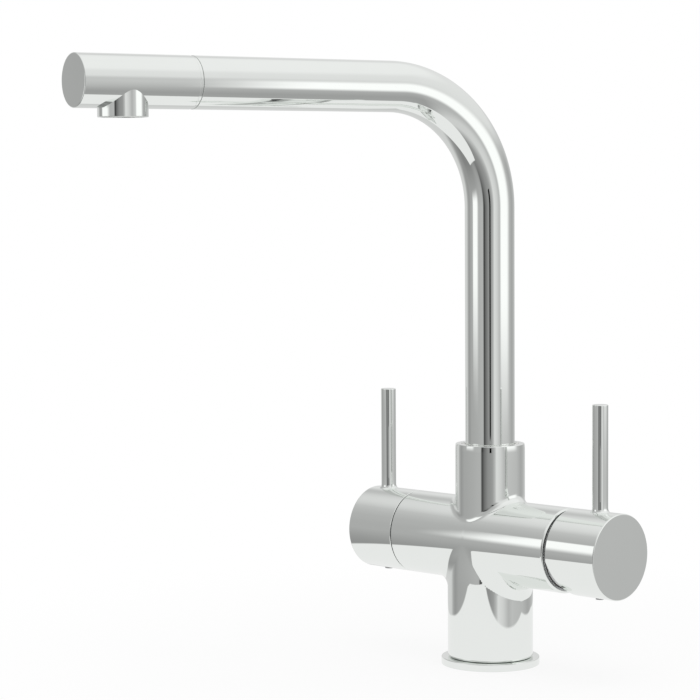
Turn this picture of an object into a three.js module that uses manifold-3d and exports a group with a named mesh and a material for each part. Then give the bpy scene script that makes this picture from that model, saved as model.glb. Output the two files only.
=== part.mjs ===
// A three way kitchen tap for hot, cold and filtered water. Millimetres, +Z up, origin at the centre of
// the base flange's underside. The two handles lie on the X axis: the mixer on +X turns for temperature
// and tilts for flow, the filtered water valve on -X turns a quarter turn. The spout swivels about Z.
import * as THREE from 'three';
import { mergeVertices } from 'three/addons/utils/BufferGeometryUtils.js';
import Module from 'manifold-3d';

const wasm = await Module();
wasm.setup();

// ---- Driving dimensions ---------------------------------------------------------------------------

const CLEARANCE = 0.3;
const FINE = 40;
const COARSE = 24;
const SMALL = 12;

// Base and body casting
const FLANGE_RADIUS = 26.5;
const FLANGE_THICKNESS = 4;
const FLANGE_EDGE = 0.6;
const FLANGE_GROOVE = 1.6;
const SEAL_THICKNESS = 1;
const SEAL_WIDTH = 3.5;
const PEDESTAL_RADIUS = 23;
const SPIGOT_STEP = 2;
const BARREL_RADIUS = 22.5;
const BARREL_HEIGHT = 66.75;
const BODY_EDGE = 0.5;
const MIXER_END = 55.5;
const FILTER_END = 53;
const SOCKET_RADIUS = 18.75;
const SOCKET_TOP = 119.5;
const SOCKET_DEPTH = 27.5;
const SOCKET_EDGE = 0.6;

// Waterways drilled in the body casting
const INLET_RADIUS = 5;
const INLET_DEPTH = 14;
const WATERWAY_RADIUS = 3;
const STUD_HOLE_RADIUS = 3.4;
const STUD_HOLE_DEPTH = 16;
const INLET_OFFSET = 9;
const FILTER_INLET_OFFSET = 12;
const PORT_OFFSET = 8;
const FILTER_PORT_OFFSET = 5.5;

// Mixer cartridge, listed from the seat outwards
const CARTRIDGE_RADIUS = 17.5;
const PORT_SEAL_THICKNESS = 1.5;
const CARTRIDGE_BASE_THICKNESS = 4;
const CERAMIC_THICKNESS = 2.6;
const FIXED_DISC_RADIUS = 13.5;
const CARRIER_RADIUS = 9.8;
const CARRIER_THICKNESS = 4.5;
const CARTRIDGE_WALL = 2.9;
const TURRET_FLANGE = 3.6;
const TURRET_NECK_RADIUS = 9.2;
const HOUSING_PLATE = 5.3;
const HOUSING_NECK_WALL = 2.6;
const NUT_RADIUS = 19.7;
const NUT_HEIGHT = 7.5;
const COVER_HEIGHT = 1.8;
const COVER_WIDTH = 4;
const COVER_STEP = 0.4;
const STEM_SIDE = 7;
const STEM_BALL_RADIUS = 2;
const STEM_NECK_RADIUS = 1.5;
const STEM_SHOULDER = 1;
const PIVOT_RISE = 0.6;
const PIVOT_PIN_RADIUS = 2;
const FLOW_TILT = 20;

// Filtered water valve, listed from the seat outwards
const VALVE_RADIUS = 10.2;
const VALVE_WALL = 1.9;
const VALVE_SEAT_DEPTH = 22;
const VALVE_RECESS_DEPTH = 9;
const VALVE_RECESS_RADIUS = 19.5;
const VALVE_SEAL_THICKNESS = 1.7;
const VALVE_DISC_THICKNESS = 2.5;
const SPINDLE_FLANGE = 4;
const SPINDLE_RADIUS = 3.9;
const SPINDLE_SQUARE = 5.4;
const VALVE_HEX_RADIUS = 14;
const VALVE_HEX_HEIGHT = 5.7;
const VALVE_NECK_RADIUS = 7;
const VALVE_NECK_LENGTH = 10;

// Knobs and levers
const KNOB_WALL = 2.5;
const KNOB_EDGE = 0.7;
const MIXER_RIM_GAP = 2.5;
const MIXER_KNOB_LENGTH = 31.5;
const FILTER_RIM_GAP = 0.4;
const FILTER_KNOB_LENGTH = 32.1;
const KNOB_SOLID = 19.5;
const KNOB_HUB_RADIUS = 7.5;
const KNOB_HUB_LENGTH = 8.5;
const FILTER_HUB_LENGTH = 5;
const RELIEF_START = 4.5;
const RELIEF_LENGTH = 9.5;
const LEVER_POSITION = 76;
const LEVER_RADIUS = 4.15;
const LEVER_LENGTH = 55.6;
const LEVER_FLARE = 1;
const LEVER_FLARE_HEIGHT = 2;
const LEVER_EDGE = 0.5;
const LEVER_SPIGOT_RADIUS = 2.5;
const LEVER_SPIGOT_LENGTH = 6;
const STEM_PAST_LEVER = 5;
const GRUB_RADIUS = 2.3;
const GRUB_LENGTH = 8;
const GRUB_SOCKET = 1.1;
const PLUG_LENGTH = 5;
const PLUG_STANDOUT = 0.8;

// Spout
const SPOUT_SWING = -13.15;
const TUBE_RADIUS = 13.3;
const TUBE_WALL = 1.5;
const ARM_HEIGHT = 309.5;
const BEND_RADIUS = 63.5;
const BEND_STEPS = 14;
const TUBE_SIDES = 36;
const ARM_LENGTH = 244;
const HEAD_LENGTH = 62.7;
const HEAD_END_THICKNESS = 2.5;
const HEAD_EDGE = 0.6;
const JOINT_WIDTH = 1.1;
const JOINT_STEP = 0.5;
const ADAPTER_WALL = 2.7;
const ADAPTER_INSERTION = 10;
const HEAD_RING_RADIUS = 0.7;
const OUTLET_FROM_END = 26.4;
const COLLAR_RADIUS = 12.5;
const COLLAR_WALL = 1.3;
const COLLAR_DROP = 4.2;
const COLLAR_HEIGHT = 12.5;
const COLLAR_EDGE = 0.4;
const AERATOR_HEIGHT = 8.5;
const AERATOR_RECESS = 0.6;
const AERATOR_HOLES = 9;
const AERATOR_HOLE_RADIUS = 1.2;
const FILTER_TUBE_RADIUS = 4;
const FILTER_TUBE_WALL = 1.4;
const FILTER_TUBE_SIDES = 10;
const FILTER_TUBE_BEND = 9;
const FILTER_TUBE_BEND_STEPS = 4;
const FERRULE_RADIUS = 4.6;
const FERRULE_DEPTH = 5.5;
const FERRULE_BARB = 7;
const STUB_WALL = 4.2;
const STUB_LENGTH = 15.4;
const STUB_SPIGOT_LENGTH = 6;
const O_RING_RADIUS = 1.2;
const O_RING_FROM_END = 3;
const LOCK_GROOVE_WIDTH = 5.2;
const LOCK_GROOVE_DEPTH = 1.8;
const SLIP_RING_HEIGHT = 7;
const SLIP_RING_WALL = 1.4;

// ---- Finishes -------------------------------------------------------------------------------------

const finish = (color, roughness, metalness) => ({ color, roughness, metalness });
const CHROME = finish(0xd2d5d5, 0.05, 1);
const BRASS = finish(0xc9a55a, 0.3, 1);
const STEEL = finish(0xa9abad, 0.3, 1);
const RUBBER = finish(0x1c1d1e, 0.8, 0);
const PLASTIC = finish(0xe6e6e2, 0.5, 0);
const DARK_PLASTIC = finish(0x4a4c4e, 0.5, 0);
const HOSE = finish(0xdfe6ea, 0.4, 0);
const CERAMIC = finish(0xf2efe8, 0.35, 0);

// ---- Solid modelling helpers ----------------------------------------------------------------------

const degrees = THREE.MathUtils.degToRad;

function solid(geometry) {
  const bare = geometry.clone();
  bare.deleteAttribute('normal');
  bare.deleteAttribute('uv');
  const merged = mergeVertices(bare, 1e-4);
  const mesh = new wasm.Mesh({
    numProp: 3,
    vertProperties: new Float32Array(merged.attributes.position.array),
    triVerts: new Uint32Array(merged.index.array),
  });
  mesh.merge();
  return new wasm.Manifold(mesh);
}

function surface(manifold) {
  const mesh = manifold.getMesh();
  const geometry = new THREE.BufferGeometry();
  geometry.setAttribute('position', new THREE.BufferAttribute(new Float32Array(mesh.vertProperties), 3));
  geometry.setIndex(new THREE.BufferAttribute(new Uint32Array(mesh.triVerts), 1));
  return geometry;
}

const join = (first, ...others) =>
  surface(others.reduce((whole, part) => whole.add(solid(part)), solid(first)));
const cut = (first, ...others) =>
  surface(others.reduce((whole, part) => whole.subtract(solid(part)), solid(first)));

// Turns the winding round where a profile was drawn the other way, so that every face points out.
function facingOut(geometry) {
  const index = geometry.index.array;
  const place = geometry.attributes.position;
  const corners = [new THREE.Vector3(), new THREE.Vector3(), new THREE.Vector3()];
  let volume = 0;
  for (let i = 0; i < index.length; i += 3) {
    corners.forEach((corner, k) => corner.fromBufferAttribute(place, index[i + k]));
    volume += corners[0].dot(corners[1].clone().cross(corners[2]));
  }
  if (volume < 0) {
    for (let i = 0; i < index.length; i += 3) {
      [index[i], index[i + 2]] = [index[i + 2], index[i]];
    }
  }
  return geometry;
}

// A body of revolution about Z from a closed profile of [radius, height] points.
function turned(profile, segments = COARSE) {
  const points = profile.map(([radius, height]) => new THREE.Vector2(radius, height));
  const closed = points[0].x > 0 || points[points.length - 1].x > 0;
  if (closed) points.push(points[0].clone());
  return facingOut(new THREE.LatheGeometry(points, segments).rotateX(Math.PI / 2));
}

// A plain tube about Z.
const ring = (inner, outer, bottom, top, segments = COARSE) =>
  turned([[inner, bottom], [outer, bottom], [outer, top], [inner, top]], segments);

// A cylinder about Z between two heights.
function rod(radius, bottom, top, segments = COARSE) {
  return new THREE.CylinderGeometry(radius, radius, top - bottom, segments)
    .rotateX(Math.PI / 2)
    .translate(0, 0, (bottom + top) / 2);
}

// A square bar about Z between two heights.
function bar(side, bottom, top) {
  return new THREE.BoxGeometry(side, side, top - bottom).translate(0, 0, (bottom + top) / 2);
}

// An O ring about Z.
function oRing(radius, section, height) {
  return new THREE.TorusGeometry(radius, section, 8, COARSE).translate(0, 0, height);
}

// A shape in the plane of X and Z, extruded to both sides of it along Y.
function plate(points, width) {
  const outline = new THREE.Shape(points.map(([x, z]) => new THREE.Vector2(x, z)));
  return new THREE.ExtrudeGeometry(outline, { depth: width, bevelEnabled: false })
    .translate(0, 0, -width / 2)
    .rotateX(Math.PI / 2);
}

// Drawn about Z, then laid on the handle axis: outwards is +X for the mixer and -X for the filter valve.
const towardsMixer = (geometry) => geometry.rotateY(Math.PI / 2);
const towardsFilter = (geometry) => geometry.rotateY(-Math.PI / 2);

// Straight runs joined by quarter bends in the plane of Y and Z, with rings only where the shape needs.
class RunWithBends extends THREE.Curve {
  constructor(stations) {
    super();
    this.stations = stations;
  }

  station(t) {
    return this.stations[Math.round(t * (this.stations.length - 1))];
  }

  getPoint(t, target = new THREE.Vector3()) {
    return target.copy(this.station(t).point);
  }

  getPointAt(t, target) {
    return this.getPoint(t, target);
  }

  getTangent(t, target = new THREE.Vector3()) {
    return target.copy(this.station(t).tangent);
  }

  getTangentAt(t, target) {
    return this.getTangent(t, target);
  }
}

const runPoint = (y, z, tangentY, tangentZ) => ({
  point: new THREE.Vector3(0, y, z),
  tangent: new THREE.Vector3(0, tangentY, tangentZ),
});

// A quarter bend about the centre given, from one polar angle to another.
function bendStations(centreY, centreZ, radius, from, to, steps) {
  const turn = Math.sign(to - from);
  return Array.from({ length: steps + 1 }, (_, i) => {
    const angle = degrees(from + ((to - from) * i) / steps);
    return runPoint(
      centreY + radius * Math.cos(angle),
      centreZ + radius * Math.sin(angle),
      -turn * Math.sin(angle),
      turn * Math.cos(angle),
    );
  });
}

function tubeAlong(stations, outer, inner, sides) {
  const section = new THREE.Shape();
  section.absarc(0, 0, outer, 0, 2 * Math.PI, false);
  const bore = new THREE.Path();
  bore.absarc(0, 0, inner, 0, 2 * Math.PI, true);
  section.holes.push(bore);
  const geometry = new THREE.ExtrudeGeometry(section, {
    steps: stations.length - 1,
    curveSegments: sides / 2,
    extrudePath: new RunWithBends(stations),
  });
  return surface(solid(geometry));
}

// ---- The scene graph ------------------------------------------------------------------------------

const tap = new THREE.Group();
const handleAxis = new THREE.Group();
handleAxis.position.z = BARREL_HEIGHT;
const spout = new THREE.Group();
spout.rotation.z = degrees(SPOUT_SWING);
tap.add(handleAxis, spout);

function piece(parent, name, geometry, look) {
  const mesh = new THREE.Mesh(surface(solid(geometry)), new THREE.MeshStandardMaterial(look));
  mesh.name = name;
  parent.add(mesh);
}

// ---- Base -----------------------------------------------------------------------------------------

const pedestalBottom = FLANGE_THICKNESS + FLANGE_GROOVE;
const spigotRadius = PEDESTAL_RADIUS - SPIGOT_STEP;
const spigotBottom = SEAL_THICKNESS + CLEARANCE;

function makeBase() {
  const bore = spigotRadius + CLEARANCE;
  const flange = turned([
    [bore, 0],
    [FLANGE_RADIUS, 0],
    [FLANGE_RADIUS, FLANGE_THICKNESS - FLANGE_EDGE],
    [FLANGE_RADIUS - FLANGE_EDGE, FLANGE_THICKNESS],
    [bore, FLANGE_THICKNESS],
  ], FINE);
  piece(tap, 'base_flange', flange, CHROME);
  piece(tap, 'base_seal', ring(spigotRadius - SEAL_WIDTH, spigotRadius, 0, SEAL_THICKNESS), RUBBER);
}

// ---- Mixer cartridge places, along the handle axis -------------------------------------------------

const nutTop = MIXER_END - CLEARANCE;
const nutBottom = nutTop - NUT_HEIGHT;
const plateTop = nutBottom - CLEARANCE;
const plateBottom = plateTop - HOUSING_PLATE;
const turretFlangeTop = plateBottom - CLEARANCE;
const turretBottom = turretFlangeTop - TURRET_FLANGE;
const carrierTop = turretBottom - CLEARANCE;
const carrierBottom = carrierTop - CARRIER_THICKNESS;
const movingDiscTop = carrierBottom - CLEARANCE;
const movingDiscBottom = movingDiscTop - CERAMIC_THICKNESS;
const fixedDiscTop = movingDiscBottom - CLEARANCE;
const fixedDiscBottom = fixedDiscTop - CERAMIC_THICKNESS;
const cartridgeBaseTop = fixedDiscBottom - CLEARANCE;
const cartridgeBaseBottom = cartridgeBaseTop - CARTRIDGE_BASE_THICKNESS;
const portSealTop = cartridgeBaseBottom - CLEARANCE;
const portSealBottom = portSealTop - PORT_SEAL_THICKNESS;
const mixerFloor = portSealBottom - CLEARANCE;
const turretTop = nutTop - 2 * CLEARANCE;
const pivot = plateTop + PIVOT_RISE;
const ballCentre = (carrierBottom + carrierTop) / 2;
const cartridgeBore = CARTRIDGE_RADIUS + CLEARANCE;
const cartridgeCavity = CARTRIDGE_RADIUS - CARTRIDGE_WALL;
const turretBore = TURRET_NECK_RADIUS + CLEARANCE;
const housingNeckRadius = turretBore + HOUSING_NECK_WALL;
const stemEnd = LEVER_POSITION + STEM_PAST_LEVER;

// ---- Filtered water valve places, outwards along the handle axis -----------------------------------

const recessFloor = FILTER_END - VALVE_RECESS_DEPTH;
const filterFloor = recessFloor - VALVE_SEAT_DEPTH;
const valveSealTop = filterFloor + CLEARANCE + VALVE_SEAL_THICKNESS;
const valveBottom = valveSealTop + CLEARANCE;
const valveFixedDiscTop = valveBottom + VALVE_DISC_THICKNESS;
const valveMovingDiscBottom = valveFixedDiscTop + CLEARANCE;
const valveMovingDiscTop = valveMovingDiscBottom + VALVE_DISC_THICKNESS;
const spindleFlangeBottom = valveMovingDiscTop + CLEARANCE;
const spindleFlangeTop = spindleFlangeBottom + SPINDLE_FLANGE;
const hexBottom = recessFloor + CLEARANCE;
const hexTop = hexBottom + VALVE_HEX_HEIGHT;
const valveTop = hexTop + VALVE_NECK_LENGTH;
const valveCavity = VALVE_RADIUS - VALVE_WALL;

// ---- Spout places ----------------------------------------------------------------------------------

const tubeBore = TUBE_RADIUS - TUBE_WALL;
const slipRingBore = TUBE_RADIUS + CLEARANCE;
const counterbore = slipRingBore + SLIP_RING_WALL + CLEARANCE;
const slipRingTop = SOCKET_TOP - CLEARANCE;
const slipRingBottom = slipRingTop - SLIP_RING_HEIGHT;
const counterboreFloor = slipRingBottom - CLEARANCE;
const stubRadius = TUBE_RADIUS + 3 * CLEARANCE;
const socketBore = stubRadius + CLEARANCE;
const socketFloor = SOCKET_TOP - SOCKET_DEPTH;
const stubBottom = socketFloor + CLEARANCE;
const stubTop = stubBottom + STUB_LENGTH;
const lowerRingHeight = stubBottom + O_RING_FROM_END;
const upperRingHeight = stubTop - O_RING_FROM_END;
const lockHeight = (stubBottom + stubTop) / 2;
const tubeEnd = stubTop + CLEARANCE;
const headStart = ARM_LENGTH - HEAD_LENGTH;
const jointEnd = headStart - CLEARANCE;
const jointStart = jointEnd - JOINT_WIDTH;
const armTubeEnd = jointStart - CLEARANCE;
const outletPosition = ARM_LENGTH - OUTLET_FROM_END;
const collarBottom = ARM_HEIGHT - TUBE_RADIUS - COLLAR_DROP;
const collarTop = collarBottom + COLLAR_HEIGHT;
const aeratorBottom = collarBottom + AERATOR_RECESS;
const aeratorTop = aeratorBottom + AERATOR_HEIGHT;
const ferruleHole = FERRULE_RADIUS + CLEARANCE;

// ---- Body casting ----------------------------------------------------------------------------------

function makeBody() {
  const pedestal = turned([
    [0, spigotBottom],
    [spigotRadius, spigotBottom],
    [spigotRadius, pedestalBottom],
    [PEDESTAL_RADIUS - BODY_EDGE, pedestalBottom],
    [PEDESTAL_RADIUS, pedestalBottom + BODY_EDGE],
    [PEDESTAL_RADIUS, BARREL_HEIGHT],
    [0, BARREL_HEIGHT],
  ], FINE);
  const socket = turned([
    [0, BARREL_HEIGHT],
    [SOCKET_RADIUS, BARREL_HEIGHT],
    [SOCKET_RADIUS, SOCKET_TOP - SOCKET_EDGE],
    [SOCKET_RADIUS - SOCKET_EDGE, SOCKET_TOP],
    [0, SOCKET_TOP],
  ], FINE);
  const barrel = towardsMixer(turned([
    [0, -FILTER_END],
    [BARREL_RADIUS - BODY_EDGE, -FILTER_END],
    [BARREL_RADIUS, -FILTER_END + BODY_EDGE],
    [BARREL_RADIUS, MIXER_END - BODY_EDGE],
    [BARREL_RADIUS - BODY_EDGE, MIXER_END],
    [0, MIXER_END],
  ], FINE)).translate(0, 0, BARREL_HEIGHT);
  const skin = join(barrel, pedestal, socket);

  const onAxis = (geometry) => geometry.translate(0, 0, BARREL_HEIGHT);
  const cavities = [
    onAxis(towardsMixer(rod(cartridgeBore, mixerFloor, MIXER_END + 1))),
    onAxis(towardsMixer(rod(NUT_RADIUS + CLEARANCE, nutBottom - CLEARANCE, MIXER_END + 1))),
    onAxis(towardsFilter(rod(VALVE_RADIUS + CLEARANCE, filterFloor, FILTER_END + 1))),
    onAxis(towardsFilter(rod(VALVE_RECESS_RADIUS, recessFloor, FILTER_END + 1))),
    rod(socketBore, socketFloor, SOCKET_TOP + 1, FINE),
    rod(counterbore, counterboreFloor, SOCKET_TOP + 1, FINE),
    rod(STUD_HOLE_RADIUS, 0, spigotBottom + STUD_HOLE_DEPTH, SMALL),
    lockScrewHole(),
    ...inletWaterways(),
    ...outletWaterways(),
  ];
  piece(tap, 'body_casting', cut(skin, ...cavities), CHROME);
}

// Hot and cold rise on the mixer's side and run to the cartridge's seat; filtered water rises opposite.
function inletWaterways() {
  const waterway = (y) => [
    rod(INLET_RADIUS, 0, spigotBottom + INLET_DEPTH, SMALL).translate(INLET_OFFSET, y, 0),
    rod(WATERWAY_RADIUS, spigotBottom, BARREL_HEIGHT, SMALL).translate(INLET_OFFSET, y, 0),
    towardsMixer(rod(WATERWAY_RADIUS, INLET_OFFSET, mixerFloor + 1, SMALL)).translate(0, y, BARREL_HEIGHT),
  ];
  const filterHeight = BARREL_HEIGHT - FILTER_PORT_OFFSET;
  const filtered = [
    rod(INLET_RADIUS, 0, spigotBottom + INLET_DEPTH, SMALL).translate(-FILTER_INLET_OFFSET, 0, 0),
    rod(WATERWAY_RADIUS, spigotBottom, filterHeight, SMALL).translate(-FILTER_INLET_OFFSET, 0, 0),
    towardsFilter(rod(WATERWAY_RADIUS, FILTER_INLET_OFFSET, filterFloor + 1, SMALL))
      .translate(0, 0, filterHeight),
  ];
  return [...waterway(PORT_OFFSET), ...waterway(-PORT_OFFSET), ...filtered];
}

// Mixed water leaves above the cartridge's centre; filtered water leaves up the middle of the socket.
function outletWaterways() {
  const mixedHeight = BARREL_HEIGHT + PORT_OFFSET;
  const filteredHeight = BARREL_HEIGHT + FILTER_PORT_OFFSET;
  return [
    towardsMixer(rod(WATERWAY_RADIUS, INLET_OFFSET, mixerFloor + 1, SMALL)).translate(0, 0, mixedHeight),
    rod(WATERWAY_RADIUS, mixedHeight, socketFloor + 1, SMALL).translate(INLET_OFFSET, 0, 0),
    towardsFilter(rod(WATERWAY_RADIUS, 0, filterFloor + 1, SMALL)).translate(0, 0, filteredHeight),
    rod(WATERWAY_RADIUS, filteredHeight, socketFloor + 1, SMALL),
    rod(ferruleHole, socketFloor - FERRULE_DEPTH - CLEARANCE, socketFloor + 1, SMALL),
  ];
}

// ---- Lock screw and slip ring that hold the spout in its socket -------------------------------------

const lockScrewTip = stubRadius - LOCK_GROOVE_DEPTH + CLEARANCE;

const towardsBack = (geometry) => geometry.rotateX(-Math.PI / 2).translate(0, 0, lockHeight);

function lockScrewHole() {
  return towardsBack(rod(GRUB_RADIUS + CLEARANCE, lockScrewTip, SOCKET_RADIUS + 1, SMALL));
}

function grubScrew(bottom, top) {
  const socket = new THREE.CylinderGeometry(GRUB_SOCKET, GRUB_SOCKET, GRUB_SOCKET * 4, 6)
    .rotateX(Math.PI / 2)
    .translate(0, 0, top);
  return cut(rod(GRUB_RADIUS, bottom, top, SMALL), socket);
}

function makeSpoutHolders() {
  const lockScrewHead = SOCKET_RADIUS - BODY_EDGE;
  piece(tap, 'spout_lock_screw', towardsBack(grubScrew(lockScrewTip, lockScrewHead)), STEEL);
  const slipRing = ring(slipRingBore, slipRingBore + SLIP_RING_WALL, slipRingBottom, slipRingTop);
  piece(tap, 'slip_ring', slipRing, DARK_PLASTIC);
}

// ---- Mixer cartridge --------------------------------------------------------------------------------

// The three ports that line up with the waterways in the cartridge's seat.
function portHoles(bottom, top) {
  const port = (across, up) => rod(WATERWAY_RADIUS, bottom - 1, top + 1, SMALL).translate(-up, across, 0);
  return [port(PORT_OFFSET, 0), port(-PORT_OFFSET, 0), port(0, PORT_OFFSET)];
}

function makeCartridge() {
  const ported = (radius, bottom, top) =>
    towardsMixer(cut(rod(radius, bottom, top), ...portHoles(bottom, top)));
  piece(handleAxis, 'cartridge_port_seal', ported(CARTRIDGE_RADIUS, portSealBottom, portSealTop), RUBBER);
  const base = ported(CARTRIDGE_RADIUS, cartridgeBaseBottom, cartridgeBaseTop);
  piece(handleAxis, 'cartridge_base', base, PLASTIC);
  const fixedDisc = ported(FIXED_DISC_RADIUS, fixedDiscBottom, fixedDiscTop);
  piece(handleAxis, 'mixer_fixed_disc', fixedDisc, CERAMIC);

  const housing = turned([
    [cartridgeCavity, fixedDiscBottom],
    [CARTRIDGE_RADIUS, fixedDiscBottom],
    [CARTRIDGE_RADIUS, plateTop],
    [housingNeckRadius, plateTop],
    [housingNeckRadius, turretTop],
    [turretBore, turretTop],
    [turretBore, plateBottom],
    [cartridgeCavity, plateBottom],
  ]);
  piece(handleAxis, 'cartridge_housing', towardsMixer(housing), PLASTIC);

  const nut = ring(housingNeckRadius + CLEARANCE, NUT_RADIUS, nutBottom, nutTop);
  piece(handleAxis, 'cartridge_nut', towardsMixer(nut), BRASS);

  const coverRadius = BARREL_RADIUS - KNOB_WALL - COVER_STEP;
  const cover = turned([
    [coverRadius - COVER_WIDTH, MIXER_END],
    [coverRadius, MIXER_END],
    [coverRadius, MIXER_END + COVER_HEIGHT / 2],
    [coverRadius - COVER_HEIGHT / 2, MIXER_END + COVER_HEIGHT],
    [coverRadius - COVER_WIDTH, MIXER_END + COVER_HEIGHT],
  ], FINE);
  piece(handleAxis, 'cartridge_cover', towardsMixer(cover), CHROME);
}

// The turret turns in the housing and carries the pin on which the stem tilts.
function makeTurret() {
  const blank = turned([
    [0, turretBottom],
    [cartridgeCavity - CLEARANCE, turretBottom],
    [cartridgeCavity - CLEARANCE, turretFlangeTop],
    [TURRET_NECK_RADIUS, turretFlangeTop],
    [TURRET_NECK_RADIUS, turretTop],
    [0, turretTop],
  ]);
  const slope = Math.tan(degrees(FLOW_TILT));
  const half = STEM_SIDE / 2 + CLEARANCE;
  const tilted = STEM_SIDE / 2 / Math.cos(degrees(FLOW_TILT)) + CLEARANCE;
  const slot = plate([
    [turretBottom - 1, -half],
    [pivot, -tilted],
    [turretTop + 1, -tilted - slope * (turretTop + 1 - pivot)],
    [turretTop + 1, half],
    [pivot, tilted],
    [turretBottom - 1, tilted + slope * (pivot - turretBottom + 1)],
  ], STEM_SIDE + 2 * CLEARANCE);
  const pinLength = 2 * (TURRET_NECK_RADIUS - 1);
  const acrossStem = (geometry) => geometry.rotateX(Math.PI / 2).translate(pivot, 0, 0);
  const pinHole = acrossStem(rod(PIVOT_PIN_RADIUS + CLEARANCE, -pinLength, pinLength, SMALL));
  piece(handleAxis, 'cartridge_turret', cut(towardsMixer(blank), slot, pinHole), DARK_PLASTIC);
  const pin = acrossStem(rod(PIVOT_PIN_RADIUS, -pinLength / 2, pinLength / 2, SMALL));
  piece(handleAxis, 'stem_pivot_pin', pin, STEEL);
}

// The carrier takes the stem's ball end in its hole and slides the moving disc across the fixed one.
function makeSlidingDisc() {
  const disc = rod(CARRIER_RADIUS, movingDiscBottom, movingDiscTop);
  piece(handleAxis, 'mixer_moving_disc', towardsMixer(disc), CERAMIC);
  const carrier = ring(STEM_BALL_RADIUS + CLEARANCE, CARRIER_RADIUS, carrierBottom, carrierTop);
  piece(handleAxis, 'disc_carrier', towardsMixer(carrier), PLASTIC);
}

function makeStem() {
  const shaftStart = turretBottom + STEM_SHOULDER;
  const shaft = bar(STEM_SIDE, shaftStart, stemEnd);
  const neck = rod(STEM_NECK_RADIUS, ballCentre, shaftStart + 1, SMALL);
  const ball = new THREE.SphereGeometry(STEM_BALL_RADIUS, SMALL, SMALL / 2).translate(0, 0, ballCentre);
  const length = 2 * STEM_SIDE;
  const hole = rod(PIVOT_PIN_RADIUS + CLEARANCE, -length, length, SMALL)
    .rotateX(Math.PI / 2)
    .translate(0, 0, pivot);
  piece(handleAxis, 'cartridge_stem', towardsMixer(cut(join(shaft, neck, ball), hole)), BRASS);
}

// ---- Filtered water valve ---------------------------------------------------------------------------

function makeFilterValve() {
  const seal = rod(VALVE_RADIUS, filterFloor + CLEARANCE, valveSealTop);
  piece(handleAxis, 'filter_valve_seal', towardsFilter(cut(seal, ...valvePorts(filterFloor))), RUBBER);
  const fixedDisc = rod(valveCavity - CLEARANCE, valveBottom, valveFixedDiscTop);
  piece(handleAxis, 'filter_fixed_disc',
    towardsFilter(cut(fixedDisc, ...valvePorts(valveBottom))), CERAMIC);

  const shell = turned([
    [valveCavity, valveBottom],
    [VALVE_RADIUS, valveBottom],
    [VALVE_RADIUS, hexBottom + 1],
    [SPINDLE_RADIUS + CLEARANCE, hexBottom + 1],
    [SPINDLE_RADIUS + CLEARANCE, spindleFlangeTop + CLEARANCE],
    [valveCavity, spindleFlangeTop + CLEARANCE],
  ]);
  const neckBore = rod(SPINDLE_RADIUS + CLEARANCE, hexBottom - 1, valveTop + 1);
  const hex = rod(VALVE_HEX_RADIUS, hexBottom, hexTop, 6);
  const neck = rod(VALVE_NECK_RADIUS, hexTop - 1, valveTop);
  piece(handleAxis, 'filter_valve_body',
    towardsFilter(cut(join(shell, hex, neck), neckBore)), BRASS);
}

function valvePorts(bottom) {
  const port = (up) => rod(WATERWAY_RADIUS - 1, bottom - 1, bottom + 2 * VALVE_DISC_THICKNESS, SMALL)
    .translate(up, 0, 0);
  return [port(FILTER_PORT_OFFSET), port(-FILTER_PORT_OFFSET)];
}

function makeSpindle() {
  // The slot lies across the two ports while the valve is shut and joins them after a quarter turn.
  const disc = rod(valveCavity - CLEARANCE, valveMovingDiscBottom, valveMovingDiscTop);
  const slotLength = 2 * FILTER_PORT_OFFSET + WATERWAY_RADIUS - 1;
  const slot = new THREE.BoxGeometry(WATERWAY_RADIUS, slotLength, 4 * VALVE_DISC_THICKNESS)
    .translate(0, 0, valveMovingDiscBottom);
  piece(handleAxis, 'filter_moving_disc', towardsFilter(cut(disc, slot)), CERAMIC);
  const flange = rod(valveCavity - CLEARANCE, spindleFlangeBottom, spindleFlangeTop);
  const shaft = rod(SPINDLE_RADIUS, spindleFlangeBottom, valveTop);
  const square = bar(SPINDLE_SQUARE, valveTop - 1, stemEnd);
  piece(handleAxis, 'filter_valve_spindle', towardsFilter(join(flange, shaft, square)), BRASS);
}

// ---- Knobs and levers -------------------------------------------------------------------------------

// Drawn about Z with the rim at the bottom. Up is -X for a knob laid towards the mixer.
function knobBlank(rim, end, hubLength, hubRadius) {
  const cavityFloor = end - KNOB_SOLID;
  const inner = BARREL_RADIUS - KNOB_WALL;
  return turned([
    [0, cavityFloor - hubLength],
    [hubRadius, cavityFloor - hubLength],
    [hubRadius, cavityFloor],
    [inner, cavityFloor],
    [inner, rim],
    [BARREL_RADIUS - BODY_EDGE, rim],
    [BARREL_RADIUS, rim + BODY_EDGE],
    [BARREL_RADIUS, end - KNOB_EDGE],
    [BARREL_RADIUS - KNOB_EDGE, end],
    [0, end],
  ], FINE);
}

// The lever's threaded hole on top, and the grub screw's hole underneath, as far as the driven square.
function leverHoles(side) {
  const x = side * LEVER_POSITION;
  const spigotHole = rod(LEVER_SPIGOT_RADIUS + CLEARANCE,
    BARREL_RADIUS - LEVER_SPIGOT_LENGTH - CLEARANCE, BARREL_RADIUS + 1, SMALL);
  const grubHole = rod(GRUB_RADIUS + CLEARANCE, -BARREL_RADIUS - 1, 0, SMALL);
  return [spigotHole.translate(x, 0, 0), grubHole.translate(x, 0, 0)];
}

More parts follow.
